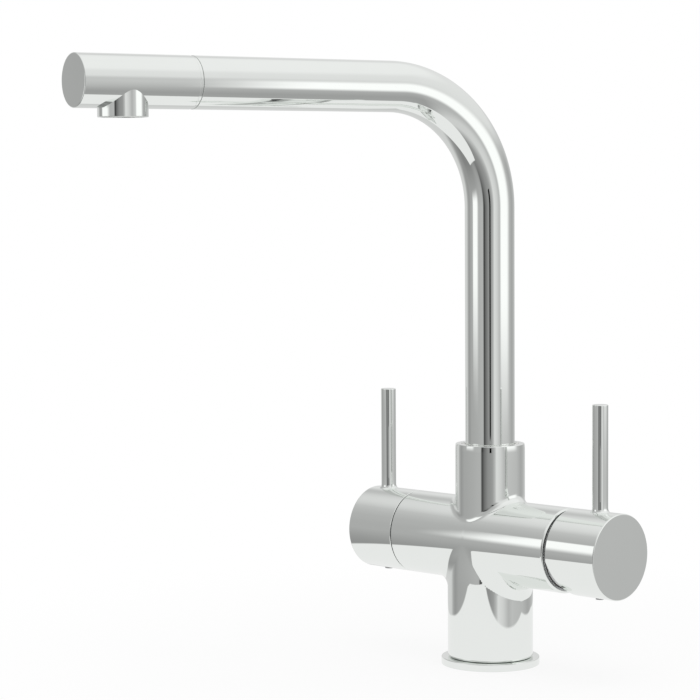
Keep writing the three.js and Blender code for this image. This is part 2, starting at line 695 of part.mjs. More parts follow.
function makeMixerKnob() {
  const rim = MIXER_END + MIXER_RIM_GAP;
  const blank = towardsMixer(knobBlank(rim, rim + MIXER_KNOB_LENGTH, KNOB_HUB_LENGTH, KNOB_HUB_RADIUS));
  const drive = towardsMixer(bar(STEM_SIDE + 2 * CLEARANCE, rim, stemEnd + CLEARANCE));
  // The underside of the rim is cut away on a slope, so that it clears the barrel as the knob tilts.
  const deep = 2 * BARREL_RADIUS;
  const slope = RELIEF_LENGTH / (BARREL_RADIUS - RELIEF_START);
  const relief = plate([
    [rim, -RELIEF_START],
    [rim - 1, -RELIEF_START],
    [rim - 1, -deep],
    [rim + slope * (deep - RELIEF_START), -deep],
  ], 2 * deep);
  piece(handleAxis, 'mixer_knob', cut(blank, drive, relief, ...leverHoles(1)), CHROME);
}

function makeFilterKnob() {
  const rim = FILTER_END + FILTER_RIM_GAP;
  const blank = towardsFilter(knobBlank(rim, rim + FILTER_KNOB_LENGTH, FILTER_HUB_LENGTH, KNOB_HUB_RADIUS));
  const drive = towardsFilter(bar(SPINDLE_SQUARE + 2 * CLEARANCE, rim, stemEnd + CLEARANCE));
  piece(handleAxis, 'filter_knob', cut(blank, drive, ...leverHoles(-1)), CHROME);
}

// A round lever with a small flare that is cut to sit on the knob, and a spigot that screws into it.
function makeLever(side, name) {
  const top = BARREL_RADIUS + LEVER_LENGTH;
  const flareRadius = LEVER_RADIUS + LEVER_FLARE;
  const shank = turned([
    [0, BARREL_RADIUS - 2],
    [flareRadius, BARREL_RADIUS - 2],
    [flareRadius, BARREL_RADIUS],
    [LEVER_RADIUS + LEVER_FLARE / 4, BARREL_RADIUS + LEVER_FLARE_HEIGHT / 3],
    [LEVER_RADIUS, BARREL_RADIUS + LEVER_FLARE_HEIGHT],
    [LEVER_RADIUS, top - LEVER_EDGE],
    [LEVER_RADIUS - LEVER_EDGE, top],
    [0, top],
  ]);
  const seat = towardsMixer(rod(BARREL_RADIUS + CLEARANCE, -flareRadius - 1, flareRadius + 1, 2 * FINE));
  const spigot = rod(LEVER_SPIGOT_RADIUS, BARREL_RADIUS - LEVER_SPIGOT_LENGTH, BARREL_RADIUS + 2, SMALL);
  const lever = join(cut(shank, seat), spigot).translate(side * LEVER_POSITION, 0, 0);
  piece(handleAxis, name, lever, CHROME);
}

// The grub screw bears on the driven square, and a plug closes its hole.
function makeGrubAndPlug(side, square, prefix) {
  const tip = square / 2 + CLEARANCE;
  const placed = (geometry) => geometry.rotateX(Math.PI).translate(side * LEVER_POSITION, 0, 0);
  piece(handleAxis, `${prefix}_grub_screw`, placed(grubScrew(tip, tip + GRUB_LENGTH)), STEEL);
  const plugTop = BARREL_RADIUS + PLUG_STANDOUT;
  const plug = turned([
    [0, plugTop - PLUG_LENGTH],
    [GRUB_RADIUS, plugTop - PLUG_LENGTH],
    [GRUB_RADIUS, plugTop - LEVER_EDGE],
    [GRUB_RADIUS - LEVER_EDGE, plugTop],
    [0, plugTop],
  ], SMALL);
  piece(handleAxis, `${prefix}_screw_plug`, placed(plug), DARK_PLASTIC);
}

// ---- Spout ------------------------------------------------------------------------------------------

function makeSpoutTube() {
  const bendTop = ARM_HEIGHT - BEND_RADIUS;
  const stations = [
    runPoint(0, tubeEnd, 0, 1),
    ...bendStations(-BEND_RADIUS, bendTop, BEND_RADIUS, 0, 90, BEND_STEPS),
    runPoint(-armTubeEnd, ARM_HEIGHT, -1, 0),
  ];
  piece(spout, 'spout_tube', tubeAlong(stations, TUBE_RADIUS, tubeBore, TUBE_SIDES), CHROME);
}

function makeFilterTube() {
  const bendTop = ARM_HEIGHT - BEND_RADIUS;
  const dropCentre = -outletPosition + FILTER_TUBE_BEND;
  const stations = [
    runPoint(0, socketFloor + CLEARANCE, 0, 1),
    ...bendStations(-BEND_RADIUS, bendTop, BEND_RADIUS, 0, 90, BEND_STEPS),
    ...bendStations(dropCentre, ARM_HEIGHT - FILTER_TUBE_BEND, FILTER_TUBE_BEND, 90, 180,
      FILTER_TUBE_BEND_STEPS),
  ];
  const bore = FILTER_TUBE_RADIUS - FILTER_TUBE_WALL;
  piece(spout, 'filter_water_tube', tubeAlong(stations, FILTER_TUBE_RADIUS, bore, FILTER_TUBE_SIDES), HOSE);

  const barb = bore - CLEARANCE;
  const ferrule = turned([
    [barb / 2, socketFloor - FERRULE_DEPTH],
    [FERRULE_RADIUS, socketFloor - FERRULE_DEPTH],
    [FERRULE_RADIUS, socketFloor],
    [barb, socketFloor],
    [barb, socketFloor + FERRULE_BARB],
    [barb / 2, socketFloor + FERRULE_BARB],
  ], SMALL);
  piece(spout, 'filter_tube_ferrule', ferrule, BRASS);
}

// The stub is brazed into the tube's foot and turns in the socket on two O rings.
function makeSwivel() {
  const grooveRadius = stubRadius - 2 * O_RING_RADIUS;
  const grooveHalf = O_RING_RADIUS + CLEARANCE;
  const inner = stubRadius - STUB_WALL;
  const lockRadius = stubRadius - LOCK_GROOVE_DEPTH;
  const groove = (centre, half, radius) => [
    [stubRadius, centre - half],
    [radius, centre - half],
    [radius, centre + half],
    [stubRadius, centre + half],
  ];
  const stub = turned([
    [inner, stubBottom],
    [stubRadius, stubBottom],
    ...groove(lowerRingHeight, grooveHalf, grooveRadius),
    ...groove(lockHeight, LOCK_GROOVE_WIDTH / 2, lockRadius),
    ...groove(upperRingHeight, grooveHalf, grooveRadius),
    [stubRadius, stubTop],
    [tubeBore - CLEARANCE, stubTop],
    [tubeBore - CLEARANCE, stubTop + STUB_SPIGOT_LENGTH],
    [inner, stubTop + STUB_SPIGOT_LENGTH],
  ]);
  piece(spout, 'swivel_stub', stub, BRASS);
  const ringRadius = stubRadius - O_RING_RADIUS + CLEARANCE / 3;
  piece(spout, 'lower_o_ring', oRing(ringRadius, O_RING_RADIUS - CLEARANCE / 3, lowerRingHeight), RUBBER);
  piece(spout, 'upper_o_ring', oRing(ringRadius, O_RING_RADIUS - CLEARANCE / 3, upperRingHeight), RUBBER);
}

// Drawn about Z with heights that are distances along the arm, then laid along it.
const alongArm = (geometry) => geometry.rotateX(Math.PI / 2).translate(0, 0, ARM_HEIGHT);
const underHead = (geometry) => geometry.translate(0, -outletPosition, 0);

function makeHead() {
  const headInner = tubeBore;
  const blank = alongArm(turned([
    [headInner, headStart],
    [TUBE_RADIUS, headStart],
    [TUBE_RADIUS, ARM_LENGTH - HEAD_EDGE],
    [TUBE_RADIUS - HEAD_EDGE, ARM_LENGTH],
    [0, ARM_LENGTH],
    [0, ARM_LENGTH - HEAD_END_THICKNESS],
    [headInner, ARM_LENGTH - HEAD_END_THICKNESS],
  ], FINE));
  const opening = underHead(rod(COLLAR_RADIUS + CLEARANCE, collarBottom - 1, collarTop + CLEARANCE, FINE));
  piece(spout, 'spout_head', cut(blank, opening), CHROME);

  const adapterOuter = tubeBore - CLEARANCE;
  const adapterInner = adapterOuter - ADAPTER_WALL;
  const adapterEnd = headStart + ADAPTER_INSERTION;
  const ringCentre = (headStart + adapterEnd) / 2;
  const ringHalf = HEAD_RING_RADIUS + CLEARANCE;
  const grooveRadius = adapterOuter - 2 * HEAD_RING_RADIUS - CLEARANCE;
  const adapter = alongArm(turned([
    [adapterInner, armTubeEnd - ADAPTER_INSERTION],
    [adapterOuter, armTubeEnd - ADAPTER_INSERTION],
    [adapterOuter, jointStart],
    [TUBE_RADIUS - JOINT_STEP, jointStart],
    [TUBE_RADIUS - JOINT_STEP, jointEnd],
    [adapterOuter, jointEnd],
    [adapterOuter, ringCentre - ringHalf],
    [grooveRadius, ringCentre - ringHalf],
    [grooveRadius, ringCentre + ringHalf],
    [adapterOuter, ringCentre + ringHalf],
    [adapterOuter, adapterEnd],
    [adapterInner, adapterEnd],
  ]));
  piece(spout, 'head_adapter', adapter, CHROME);
  const headRing = alongArm(oRing(adapterOuter - HEAD_RING_RADIUS, HEAD_RING_RADIUS, ringCentre));
  piece(spout, 'head_o_ring', headRing, RUBBER);
}

// The collar under the head holds the aerator for mixed water, with the filtered water's nozzle inside.
function makeOutlet() {
  const collarBore = COLLAR_RADIUS - COLLAR_WALL;
  const collar = turned([
    [collarBore, collarBottom],
    [COLLAR_RADIUS - COLLAR_EDGE, collarBottom],
    [COLLAR_RADIUS, collarBottom + COLLAR_EDGE],
    [COLLAR_RADIUS, collarTop],
    [collarBore, collarTop],
  ], FINE);
  piece(spout, 'outlet_collar', underHead(collar), CHROME);

  const nozzleRadius = FILTER_TUBE_RADIUS;
  const nozzleTop = ARM_HEIGHT - FILTER_TUBE_BEND - CLEARANCE;
  const nozzle = ring(FILTER_TUBE_RADIUS - FILTER_TUBE_WALL, nozzleRadius, aeratorBottom, nozzleTop, SMALL);
  piece(spout, 'filter_nozzle', underHead(nozzle), DARK_PLASTIC);

  const aeratorOuter = collarBore - CLEARANCE;
  const aeratorInner = nozzleRadius + CLEARANCE;
  const middle = (aeratorOuter + aeratorInner) / 2;
  const disc = ring(aeratorInner, aeratorOuter, aeratorBottom, aeratorTop);
  const holes = Array.from({ length: AERATOR_HOLES }, (_, i) => {
    const angle = (2 * Math.PI * i) / AERATOR_HOLES;
    return rod(AERATOR_HOLE_RADIUS, aeratorBottom - 1, aeratorTop + 1, 8)
      .translate(middle * Math.cos(angle), middle * Math.sin(angle), 0);
  });
  piece(spout, 'aerator_insert', underHead(cut(disc, ...holes)), PLASTIC);
}

// ---- Assembly ---------------------------------------------------------------------------------------

makeBase();
makeBody();
makeSpoutHolders();
makeCartridge();
makeTurret();
makeSlidingDisc();
makeStem();
makeFilterValve();
makeSpindle();
makeMixerKnob();
makeFilterKnob();
makeLever(1, 'mixer_lever');
makeLever(-1, 'filter_lever');
makeGrubAndPlug(1, STEM_SIDE, 'mixer');
makeGrubAndPlug(-1, SPINDLE_SQUARE, 'filter');
makeSpoutTube();
makeFilterTube();
makeSwivel();
makeHead();
makeOutlet();

export default tap;
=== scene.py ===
import math

import bmesh
import bpy
import numpy as np
from mathutils import Matrix, Vector


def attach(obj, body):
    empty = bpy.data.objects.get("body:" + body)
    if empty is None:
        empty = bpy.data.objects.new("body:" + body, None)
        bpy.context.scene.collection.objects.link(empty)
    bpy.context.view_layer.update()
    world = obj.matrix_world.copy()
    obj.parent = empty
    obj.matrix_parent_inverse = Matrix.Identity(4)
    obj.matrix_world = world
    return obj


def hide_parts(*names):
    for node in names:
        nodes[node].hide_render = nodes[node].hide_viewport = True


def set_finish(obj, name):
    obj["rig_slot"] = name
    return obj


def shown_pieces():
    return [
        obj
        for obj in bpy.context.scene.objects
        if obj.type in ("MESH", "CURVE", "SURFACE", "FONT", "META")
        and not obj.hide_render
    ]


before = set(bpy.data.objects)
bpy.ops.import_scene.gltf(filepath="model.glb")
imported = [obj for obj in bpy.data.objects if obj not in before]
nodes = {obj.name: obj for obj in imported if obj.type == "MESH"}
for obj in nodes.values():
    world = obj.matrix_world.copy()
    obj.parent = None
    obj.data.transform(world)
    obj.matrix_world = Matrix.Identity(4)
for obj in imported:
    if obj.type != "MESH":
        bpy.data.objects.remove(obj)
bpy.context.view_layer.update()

# ---- Sizes in millimetres ------------------------------------------------------------------------
# A plain name is a radius. A TOP, BOTTOM, FLOOR or END is a height above the worktop or, on the handle
# axis, a distance from the riser's axis.

METRE = 1000.0
CLEARANCE = 0.3
AXIS = 66.75  # height of the handle axis

# Base ring and pedestal
BASE_RING, BASE_RING_TOP = 26.5, 4.0
PEDESTAL, PEDESTAL_BOTTOM, PEDESTAL_EDGE = 23.0, BASE_RING_TOP + 0.02, 1.3
SPIGOT, SPIGOT_BOTTOM = 21.0, 1.3  # the pedestal's step inside the base ring
INLET, INLET_DEPTH = 5.0, 14.0
INLET_PLACES = [(9, 8), (9, -8), (-12, 0)]  # hot, cold and filtered water
STUD_HOLE, STUD_HOLE_DEPTH = 3.4, 16.0

# Barrel, with the cartridge's bore at one end and the filter valve's at the other
BARREL = 22.5
MIXER_END, MIXER_END_EDGE = 55.5, 1.3
FILTER_END, FILTER_END_EDGE = 53.0, 0.3
NUT_BORE, NUT_FLOOR = 20.0, 47.5
CARTRIDGE_BORE, CARTRIDGE_FLOOR = 17.8, 40.0  # the bore goes on, hidden by the cartridge
VALVE_RECESS, VALVE_RECESS_FLOOR, VALVE_BORE = 19.5, 44.0, 10.5

# Spout socket
SOCKET, SOCKET_TOP = 18.75, 119.5
SOCKET_BORE, SOCKET_FLOOR = 14.5, 92.0
MOUTH, MOUTH_FLOOR = 15.3, 111.9  # the wider top of the bore, for the slip ring
MOUTH_SLOPE, MOUTH_TAPER = 2.0, 0.28  # near its top the socket narrows by the taper over this height
MOUTH_SLOPE_ROUNDING = 22.0

# Knobs and levers
KNOB_BORE, HUB, HUB_BORE = 20.0, 7.5, 4.0
RELIEF_START = 3.0  # how far below the axis the slope under the mixer knob's rim begins
LEVER, LEVER_LENGTH, LEVER_X = 4.15, 55.6, 76.0
LEVER_FLARE, LEVER_FLARE_HEIGHT, LEVER_SUNK = 1.5, 2.4, 0.15
SCREW = 2.3  # the lock screw and the knobs' plugs

# Spout, with lengths along the arm from the riser's axis
TUBE, TUBE_WALL = 13.3, 1.5
TUBE_FOOT, ARM_HEIGHT, BEND = 108.0, 309.5, 63.5
TUBE_END, HEAD_START, ARM_LENGTH = 179.6, 181.3, 244.0
RISER = ARM_HEIGHT - BEND - TUBE_FOOT  # length of the straight riser
CURVE = BEND * math.pi / 2  # length of the centre line in the bend
SWING = math.radians(-13.15)  # how far the spout is turned at rest
OUTLET_REACH, OUTLET_RIM = 217.6, 292.0
COLLAR, COLLAR_BORE = 12.5, 11.2

# How fine the meshes are
ROUND = 192  # points round a turned piece
ARC_STEPS = 5  # steps in a profile's rounded corner
BEND_STEPS = 72
NET_STEP = 0.9
TINY = 1e-6

# ---- Meshes with exact normals -------------------------------------------------------------------

X, Y, Z = np.eye(3)
# Rotations that lay a piece drawn about Z in another direction.
TOWARDS_MIXER = np.array([[0, 0, 1], [0, 1, 0], [-1, 0, 0]], float)  # +X
TOWARDS_FILTER = np.array([[0, 0, -1], [0, 1, 0], [1, 0, 0]], float)  # -X
TO_FRONT = np.array([[1, 0, 0], [0, 0, -1], [0, 1, 0]], float)  # -Y
TO_BACK = np.array([[1, 0, 0], [0, 0, 1], [0, -1, 0]], float)  # +Y
DOWNWARDS = np.array([[1, 0, 0], [0, -1, 0], [0, 0, -1]], float)  # -Z

OWN, SHADED_IN_GAP, SHADED_GAP_EDGE = 0, 1, 2  # the looks of a face: the piece's own, painted shade inside a gap, painted mid-grey shade at a gap's edge
LOOKS = {}  # the looks of each face, for the pieces that have more than their own


class Shape:
    """Points, faces, normals and looks that build up one piece."""

    def __init__(self):
        self.verts, self.faces, self.normals, self.looks = [], [], [], []

    def add(self, verts, faces, normals, looks=None):
        start = len(self.verts)
        self.verts.extend(np.asarray(v, float) for v in verts)
        self.normals.extend(np.asarray(n, float) for n in normals)
        self.faces.extend(tuple(start + i for i in face) for face in faces)
        self.looks.extend(looks or [OWN] * len(faces))
        return self

    def join(self, other):
        return self.add(other.verts, other.faces, other.normals, other.looks)

    def inner(self, look, radius, below=math.inf):
        """Gives a look to the faces whose centre is nearer to Z than the radius and under a height."""
        for i, face in enumerate(self.faces):
            x, y, z = sum(self.verts[k] for k in face) / len(face)
            if math.hypot(x, y) < radius and z < below:
                self.looks[i] = look
        return self

    def moved(self, turn=np.eye(3), shift=(0, 0, 0)):
        self.verts = [turn @ v + np.asarray(shift, float) for v in self.verts]
        self.normals = [turn @ n for n in self.normals]
        return self

    def build(self, name, body, stands_for, slot="chrome"):
        """Makes the piece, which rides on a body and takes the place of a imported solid."""
        mesh = bpy.data.meshes.new(name)
        mesh.from_pydata([tuple(v / METRE) for v in self.verts], [], self.faces)
        mesh.update()
        mesh.shade_smooth()
        mesh.normals_split_custom_set_from_vertices([tuple(n) for n in self.normals])
        obj = bpy.data.objects.new(name, mesh)
        bpy.context.scene.collection.objects.link(obj)
        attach(obj, body)
        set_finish(obj, slot)
        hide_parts(stands_for)
        if any(self.looks):
            LOOKS[name] = self.looks


def unit(vector):
    return vector / np.linalg.norm(vector)


def same(a, b):
    return np.linalg.norm(a - b) < TINY


def turns(count):
    """The angles of the points in a ring."""
    return [2 * math.pi * k / count for k in range(count)]


def corner(here, to_last, to_next, rounding):
    """The arc that rounds a profile's corner, as points with normals."""
    before, after = np.array([-to_last[1], to_last[0]]), np.array([to_next[1], -to_next[0]])
    if rounding <= 0:
        return [(here, before), (here, after)]
    half = math.acos(float(to_last @ to_next)) / 2
    start, end = (here + side * rounding / math.tan(half) for side in (to_last, to_next))
    centre = here + unit(to_last + to_next) * rounding / math.sin(half)
    first, final = start - centre, end - centre
    outward = 1.0 if float(first @ before) > 0 else -1.0
    turn = math.atan2(first[0] * final[1] - first[1] * final[0], float(first @ final))
    arc = []
    for k in range(ARC_STEPS + 1):
        c, s = math.cos(turn * k / ARC_STEPS), math.sin(turn * k / ARC_STEPS)
        spoke = np.array([c * first[0] - s * first[1], s * first[0] + c * first[1]])
        arc.append((centre + spoke, spoke * outward / rounding))
    return arc


def rounded(profile):
    """A profile of (radius, height, rounding) as (radius, height) points with normals."""
    points = [np.array(p[:2], float) for p in profile]
    ways = [unit(b - a) for a, b in zip(points, points[1:])]
    out = [(points[0], np.array([ways[0][1], -ways[0][0]]))]
    for i in range(1, len(points) - 1):
        out.extend(corner(points[i], -ways[i - 1], ways[i], profile[i][2]))
    out.append((points[-1], np.array([ways[-1][1], -ways[-1][0]])))
    return out


def ring(radius, normal, centre, over=Y, forward=Z, around=ROUND):
    """Points round a centre with their normals, where the normal is given as (outward, forward)."""
    out = []
    for angle in turns(around):
        spoke = X * math.cos(angle) + over * math.sin(angle)
        out.append((centre + spoke * radius, spoke * normal[0] + forward * normal[1]))
    return out


def skin(rings):
    """The surface through rings of points with normals, as many in each ring."""
    count = len(rings[0])
    faces = []
    for i, (low, high) in enumerate(zip(rings, rings[1:])):
        if same(low[0][0], high[0][0]):
            continue  # the two rings of a sharp corner
        low_is_point, high_is_point = same(low[0][0], low[1][0]), same(high[0][0], high[1][0])
        for k in range(count):
            a, b = i * count + k, i * count + (k + 1) % count
            if low_is_point:
                faces.append((a, b + count, a + count))
            elif high_is_point:
                faces.append((a, b, a + count))
            else:
                faces.append((a, b, b + count, a + count))
    points = [point for each in rings for point in each]
    return Shape().add([place for place, _ in points], faces, [normal for _, normal in points])


def revolve(profile, around=ROUND):
    """A piece turned about Z from a profile that runs bottom to top on its outside, so normals point out."""
    return skin([ring(r, normal, Z * z, around=around) for (r, z), normal in rounded(profile)])


def on_handle_axis(shape, side):
    """A shape drawn about Z, laid along the mixer's side (1) or the filter's side (-1)."""
    return shape.moved(TOWARDS_MIXER if side > 0 else TOWARDS_FILTER, (0, 0, AXIS))


# ---- The body casting: barrel, pedestal and socket flow into each other --------------------------

PEDESTAL_FILLET, SOCKET_FILLET = 8.0, 4.5
WAIST_BOTTOM, WAIST_TOP = -22.0, -2.0  # where the pedestal narrows to the barrel, from the handle axis
# At each opening a turned lip of this length takes over from the net, and overlaps it by the seam.
MIXER_LIP, FILTER_LIP, PEDESTAL_LIP, SOCKET_LIP, SEAM = 1.8, 0.6, 1.4, 3.65, 0.05


def smooth(low, high, x):
    t = np.clip((x - low) / (high - low), 0.0, 1.0)
    return t * t * (3 - 2 * t)


def filleted(a, b, alike, radius, power):
    """The union of two distance fields with a fillet, which closes up where the two run alike."""
    size = radius * (1 - np.clip(alike, 0.0, 1.0) ** power) + TINY
    hollow = np.hypot(np.maximum(size - a, 0), np.maximum(size - b, 0))
    return np.maximum(size, np.minimum(a, b)) - hollow


def casting(p):
    """Signed distance, about, to the casting's outside. The last dimension of p is x, y and z."""
    x, y, z = p[..., 0], p[..., 1], p[..., 2] - AXIS
    from_x = np.sqrt(y * y + z * z) + TINY
    from_z = np.sqrt(x * x + y * y) + TINY
    alike = y * y / (from_x * from_z)  # the cosine between the directions away from X and from Z
    radius = PEDESTAL - (PEDESTAL - BARREL) * smooth(WAIST_BOTTOM, WAIST_TOP, z)
    # Above the handle axis the pedestal ends in a ball, which the barrel hides.
    pedestal = np.where(z < 0, from_z, np.sqrt(x * x + y * y + z * z)) - radius
    body = filleted(from_x - BARREL, pedestal, np.where(z < 0, alike, 1.0), PEDESTAL_FILLET, 2)
    return filleted(body, from_z - SOCKET, alike, SOCKET_FILLET, 1)


def gradient(field, p, reach=0.02):
    out = np.empty_like(p)
    for axis, step in enumerate(np.eye(3) * reach):
        out[..., axis] = (field(p + step) - field(p - step)) / (2 * reach)
    return out


def onto(field, p, rounds=4):
    """Points near the surface where the field is 0, brought onto it."""
    for _ in range(rounds):
        slope = gradient(field, p)
        p = p - slope * (field(p) / np.maximum((slope**2).sum(-1), TINY))[..., None]
    return p


def surface_net(field, low, high, step):
    """A quad mesh of the surface where the field is 0, one point to each grid cell that it crosses."""
    axes = [np.arange(a, b + step, step) for a, b in zip(low, high)]
    grid = np.stack(np.meshgrid(*axes, indexing="ij"), -1)
    value = field(grid)
    cells = tuple(n - 1 for n in value.shape)
    total, count = np.zeros(cells + (3,)), np.zeros(cells)
    crossings = []
    for axis in range(3):
        near = tuple(slice(None, -1) if k == axis else slice(None) for k in range(3))
        far = tuple(slice(1, None) if k == axis else slice(None) for k in range(3))
        hit = np.argwhere((value[near] < 0) != (value[far] < 0))
        before, after = value[near][tuple(hit.T)], value[far][tuple(hit.T)]
        place = grid[near][tuple(hit.T)].copy()
        place[:, axis] += step * before / (before - after)
        # The four cells round each grid line that crosses the surface, in turn.
        one, two = (k for k in range(3) if k != axis)
        around = []
        for back_one, back_two in ((1, 1), (0, 1), (0, 0), (1, 0)):
            cell = hit.copy()
            cell[:, one] -= back_one
            cell[:, two] -= back_two
            around.append(cell)
        exists = [np.all((cell >= 0) & (cell < np.array(cells)), axis=1) for cell in around]
        for cell, ok in zip(around, exists):
            np.add.at(total, tuple(cell[ok].T), place[ok])
            np.add.at(count, tuple(cell[ok].T), 1)
        whole = np.all(exists, axis=0)
        leaving = (before[whole] < 0) == (axis != 1)
        crossings.append(([cell[whole] for cell in around], leaving))
    index = np.full(cells, -1)
    used = count > 0
    index[used] = np.arange(int(used.sum()))
    faces = []
    for around, leaving in crossings:
        ids = np.stack([index[tuple(cell.T)] for cell in around], 1)
        ids[~leaving] = ids[~leaving][:, ::-1]
        faces.extend(map(tuple, ids.tolist()))
    return total[used] / count[used][:, None], faces


def cut_at(verts, faces, planes):
    """The mesh kept on the inner side of each (point, outward normal) plane."""
    bm = bmesh.new()
    made = [bm.verts.new(v) for v in verts]
    for face in faces:
        bm.faces.new([made[i] for i in face])
    for point, normal in planes:
        bmesh.ops.bisect_plane(bm, geom=bm.verts[:] + bm.edges[:] + bm.faces[:], dist=1e-5,
                               plane_co=point, plane_no=normal, clear_outer=True)
    bm.verts.index_update()
    kept = np.array([v.co[:] for v in bm.verts], float)
    ids = [tuple(v.index for v in f.verts) for f in bm.faces]
    bm.free()
    return kept, ids


def holed_disc(radius, holes, z, least_sides=24):
    """A flat disc that faces down, with round holes of (x, y, radius)."""
    bm = bmesh.new()
    for x, y, r in [(0, 0, radius)] + holes:
        loop = [bm.verts.new((x + r * math.cos(angle), y + r * math.sin(angle), z))
                for angle in turns(max(least_sides, int(ROUND * r / radius)))]
        for k, vert in enumerate(loop):
            bm.edges.new((loop[k - 1], vert))
    bmesh.ops.triangle_fill(bm, use_beauty=True, edges=bm.edges[:])
    bmesh.ops.recalc_face_normals(bm, faces=bm.faces[:])
    bm.verts.index_update()
    faces = []
    for face in bm.faces:
        ids = tuple(v.index for v in face.verts)
        faces.append(ids if face.normal.z < 0 else ids[::-1])
    verts = [v.co[:] for v in bm.verts]
    bm.free()
    return Shape().add(verts, faces, [-Z] * len(verts))


def casting_outside():
    """The net of the casting without its openings, cut where the turned lips begin."""
    margin = 3.0
    low = (-FILTER_END - margin, -PEDESTAL - margin, BASE_RING_TOP / 2)
    high = (MIXER_END + margin, PEDESTAL + margin, SOCKET_TOP + margin)
    net, quads = surface_net(casting, low, high, NET_STEP)
    net, quads = cut_at(net, quads, [
        (X * (MIXER_END - MIXER_LIP), X), (X * (FILTER_LIP - FILTER_END), -X),
        (Z * (PEDESTAL_BOTTOM + PEDESTAL_LIP), -Z), (Z * (SOCKET_TOP - SOCKET_LIP), Z)])
    net = onto(casting, net)
    slope = gradient(casting, net)
    return Shape().add(net, quads, slope / np.linalg.norm(slope, axis=1, keepdims=True))


def mixer_opening():
    shape = revolve([
        (BARREL, MIXER_END - MIXER_LIP - SEAM, 0), (BARREL, MIXER_END, MIXER_END_EDGE),
        (NUT_BORE, MIXER_END, 0.2), (NUT_BORE, NUT_FLOOR, 0),
        (CARTRIDGE_BORE, NUT_FLOOR, 0), (CARTRIDGE_BORE, CARTRIDGE_FLOOR, 0)])
    # Painted shade: the end face takes the mid-grey copy of chrome, and the bore the darker one.
    shape.inner(SHADED_GAP_EDGE, BARREL - MIXER_END_EDGE + 0.1).inner(SHADED_IN_GAP, NUT_BORE + 0.05)
    return on_handle_axis(shape, 1)


def filter_opening():
    shape = revolve([
        (BARREL, FILTER_END - FILTER_LIP - SEAM, 0), (BARREL, FILTER_END, FILTER_END_EDGE),
        (VALVE_RECESS, FILTER_END, 0.2), (VALVE_RECESS, VALVE_RECESS_FLOOR, 0),
        (VALVE_BORE, VALVE_RECESS_FLOOR, 0)])
    # Painted shade: the end face and the valve recess take the darker copy of chrome.
    return on_handle_axis(shape.inner(SHADED_IN_GAP, BARREL - FILTER_END_EDGE), -1)


def socket_opening():
    return revolve([
        (SOCKET, SOCKET_TOP - SOCKET_LIP - SEAM, 0), (SOCKET, SOCKET_TOP - MOUTH_SLOPE, MOUTH_SLOPE_ROUNDING),
        (SOCKET - MOUTH_TAPER, SOCKET_TOP, 0.45), (MOUTH, SOCKET_TOP, 0.2), (MOUTH, MOUTH_FLOOR, 0),
        (SOCKET_BORE, MOUTH_FLOOR, 0), (SOCKET_BORE, SOCKET_FLOOR, 0), (0, SOCKET_FLOOR, 0)])


def casting_foot():
    """The pedestal's lower edge, and the spigot inside the base ring with its blind holes."""
    shape = revolve([
        (SPIGOT, SPIGOT_BOTTOM, 0), (SPIGOT, PEDESTAL_BOTTOM, 0.1),
        (PEDESTAL, PEDESTAL_BOTTOM, PEDESTAL_EDGE), (PEDESTAL, PEDESTAL_BOTTOM + PEDESTAL_LIP + SEAM, 0)])
    holes = [(x, y, INLET, INLET_DEPTH) for x, y in INLET_PLACES] + [(0, 0, STUD_HOLE, STUD_HOLE_DEPTH)]
    shape.join(holed_disc(SPIGOT, [hole[:3] for hole in holes], SPIGOT_BOTTOM))
    for x, y, r, depth in holes:
        top = SPIGOT_BOTTOM + depth
        shape.join(revolve([(0, top, 0), (r, top, 0), (r, SPIGOT_BOTTOM, 0)], 32).moved(shift=(x, y, 0)))
    return shape


def make_casting():
    shape = casting_outside()
    for part in (mixer_opening(), filter_opening(), socket_opening(), casting_foot()):
        shape.join(part)
    shape.build("tap_body_shell", "tap_body", "body_casting")


# ---- Base ring, trim rings and screws ------------------------------------------------------------


def make_base_ring():
    bore = SPIGOT + CLEARANCE
    shape = revolve([(bore, 0, 0), (BASE_RING, 0, 0.15), (BASE_RING, BASE_RING_TOP, 0.5),
                     (bore, BASE_RING_TOP, 0.15), (bore, 0, 0)])
    shape.build("tap_base_ring", "tap_body", "base_flange")


def make_slip_ring():
    inner, outer = TUBE + CLEARANCE, MOUTH - 0.1
    bottom, top = MOUTH_FLOOR + CLEARANCE, SOCKET_TOP - 0.1
    shape = revolve([(inner, bottom, 0), (outer, bottom, 0), (outer, top, 0.12), (inner, top, 0.25),
                     (inner, bottom, 0)])
    shape.build("socket_slip_ring", "tap_body", "slip_ring", "white_plastic")


def make_cartridge_trim():
    """The bevelled ring that shows in the gap between barrel and mixer knob."""
    inner, outer, bevel = 15.6, 19.6, 0.9
    top = MIXER_END + 1.8
    shape = revolve([(inner, MIXER_END, 0), (outer, MIXER_END, 0), (outer, top - bevel, 0.15),
                     (outer - bevel, top, 0.2), (inner, top, 0.2), (inner, MIXER_END, 0)])
    on_handle_axis(shape, 1).build("cartridge_trim", "tap_body", "cartridge_cover")


def screw(bottom, top, recess, depth):
    """A stud about Z with a round recess in its top."""
    return revolve([(0, bottom, 0), (SCREW, bottom, 0.2), (SCREW, top, 0.3), (recess, top, 0.08),
                    (recess, top - depth, 0), (0, top - depth, 0)], 48)


def make_lock_screw():
    height = 100.0
    shape = screw(bottom=12.7, top=SOCKET + 0.12, recess=1.15, depth=1.2)
    shape.moved(TO_BACK, (0, 0, height)).build("socket_lock_screw", "tap_body", "spout_lock_screw", "steel")


# ---- Knobs and levers ----------------------------------------------------------------------------

HANDLES = ((1, "mixer"), (-1, "filter"))  # the side of the tap, and the handle's name


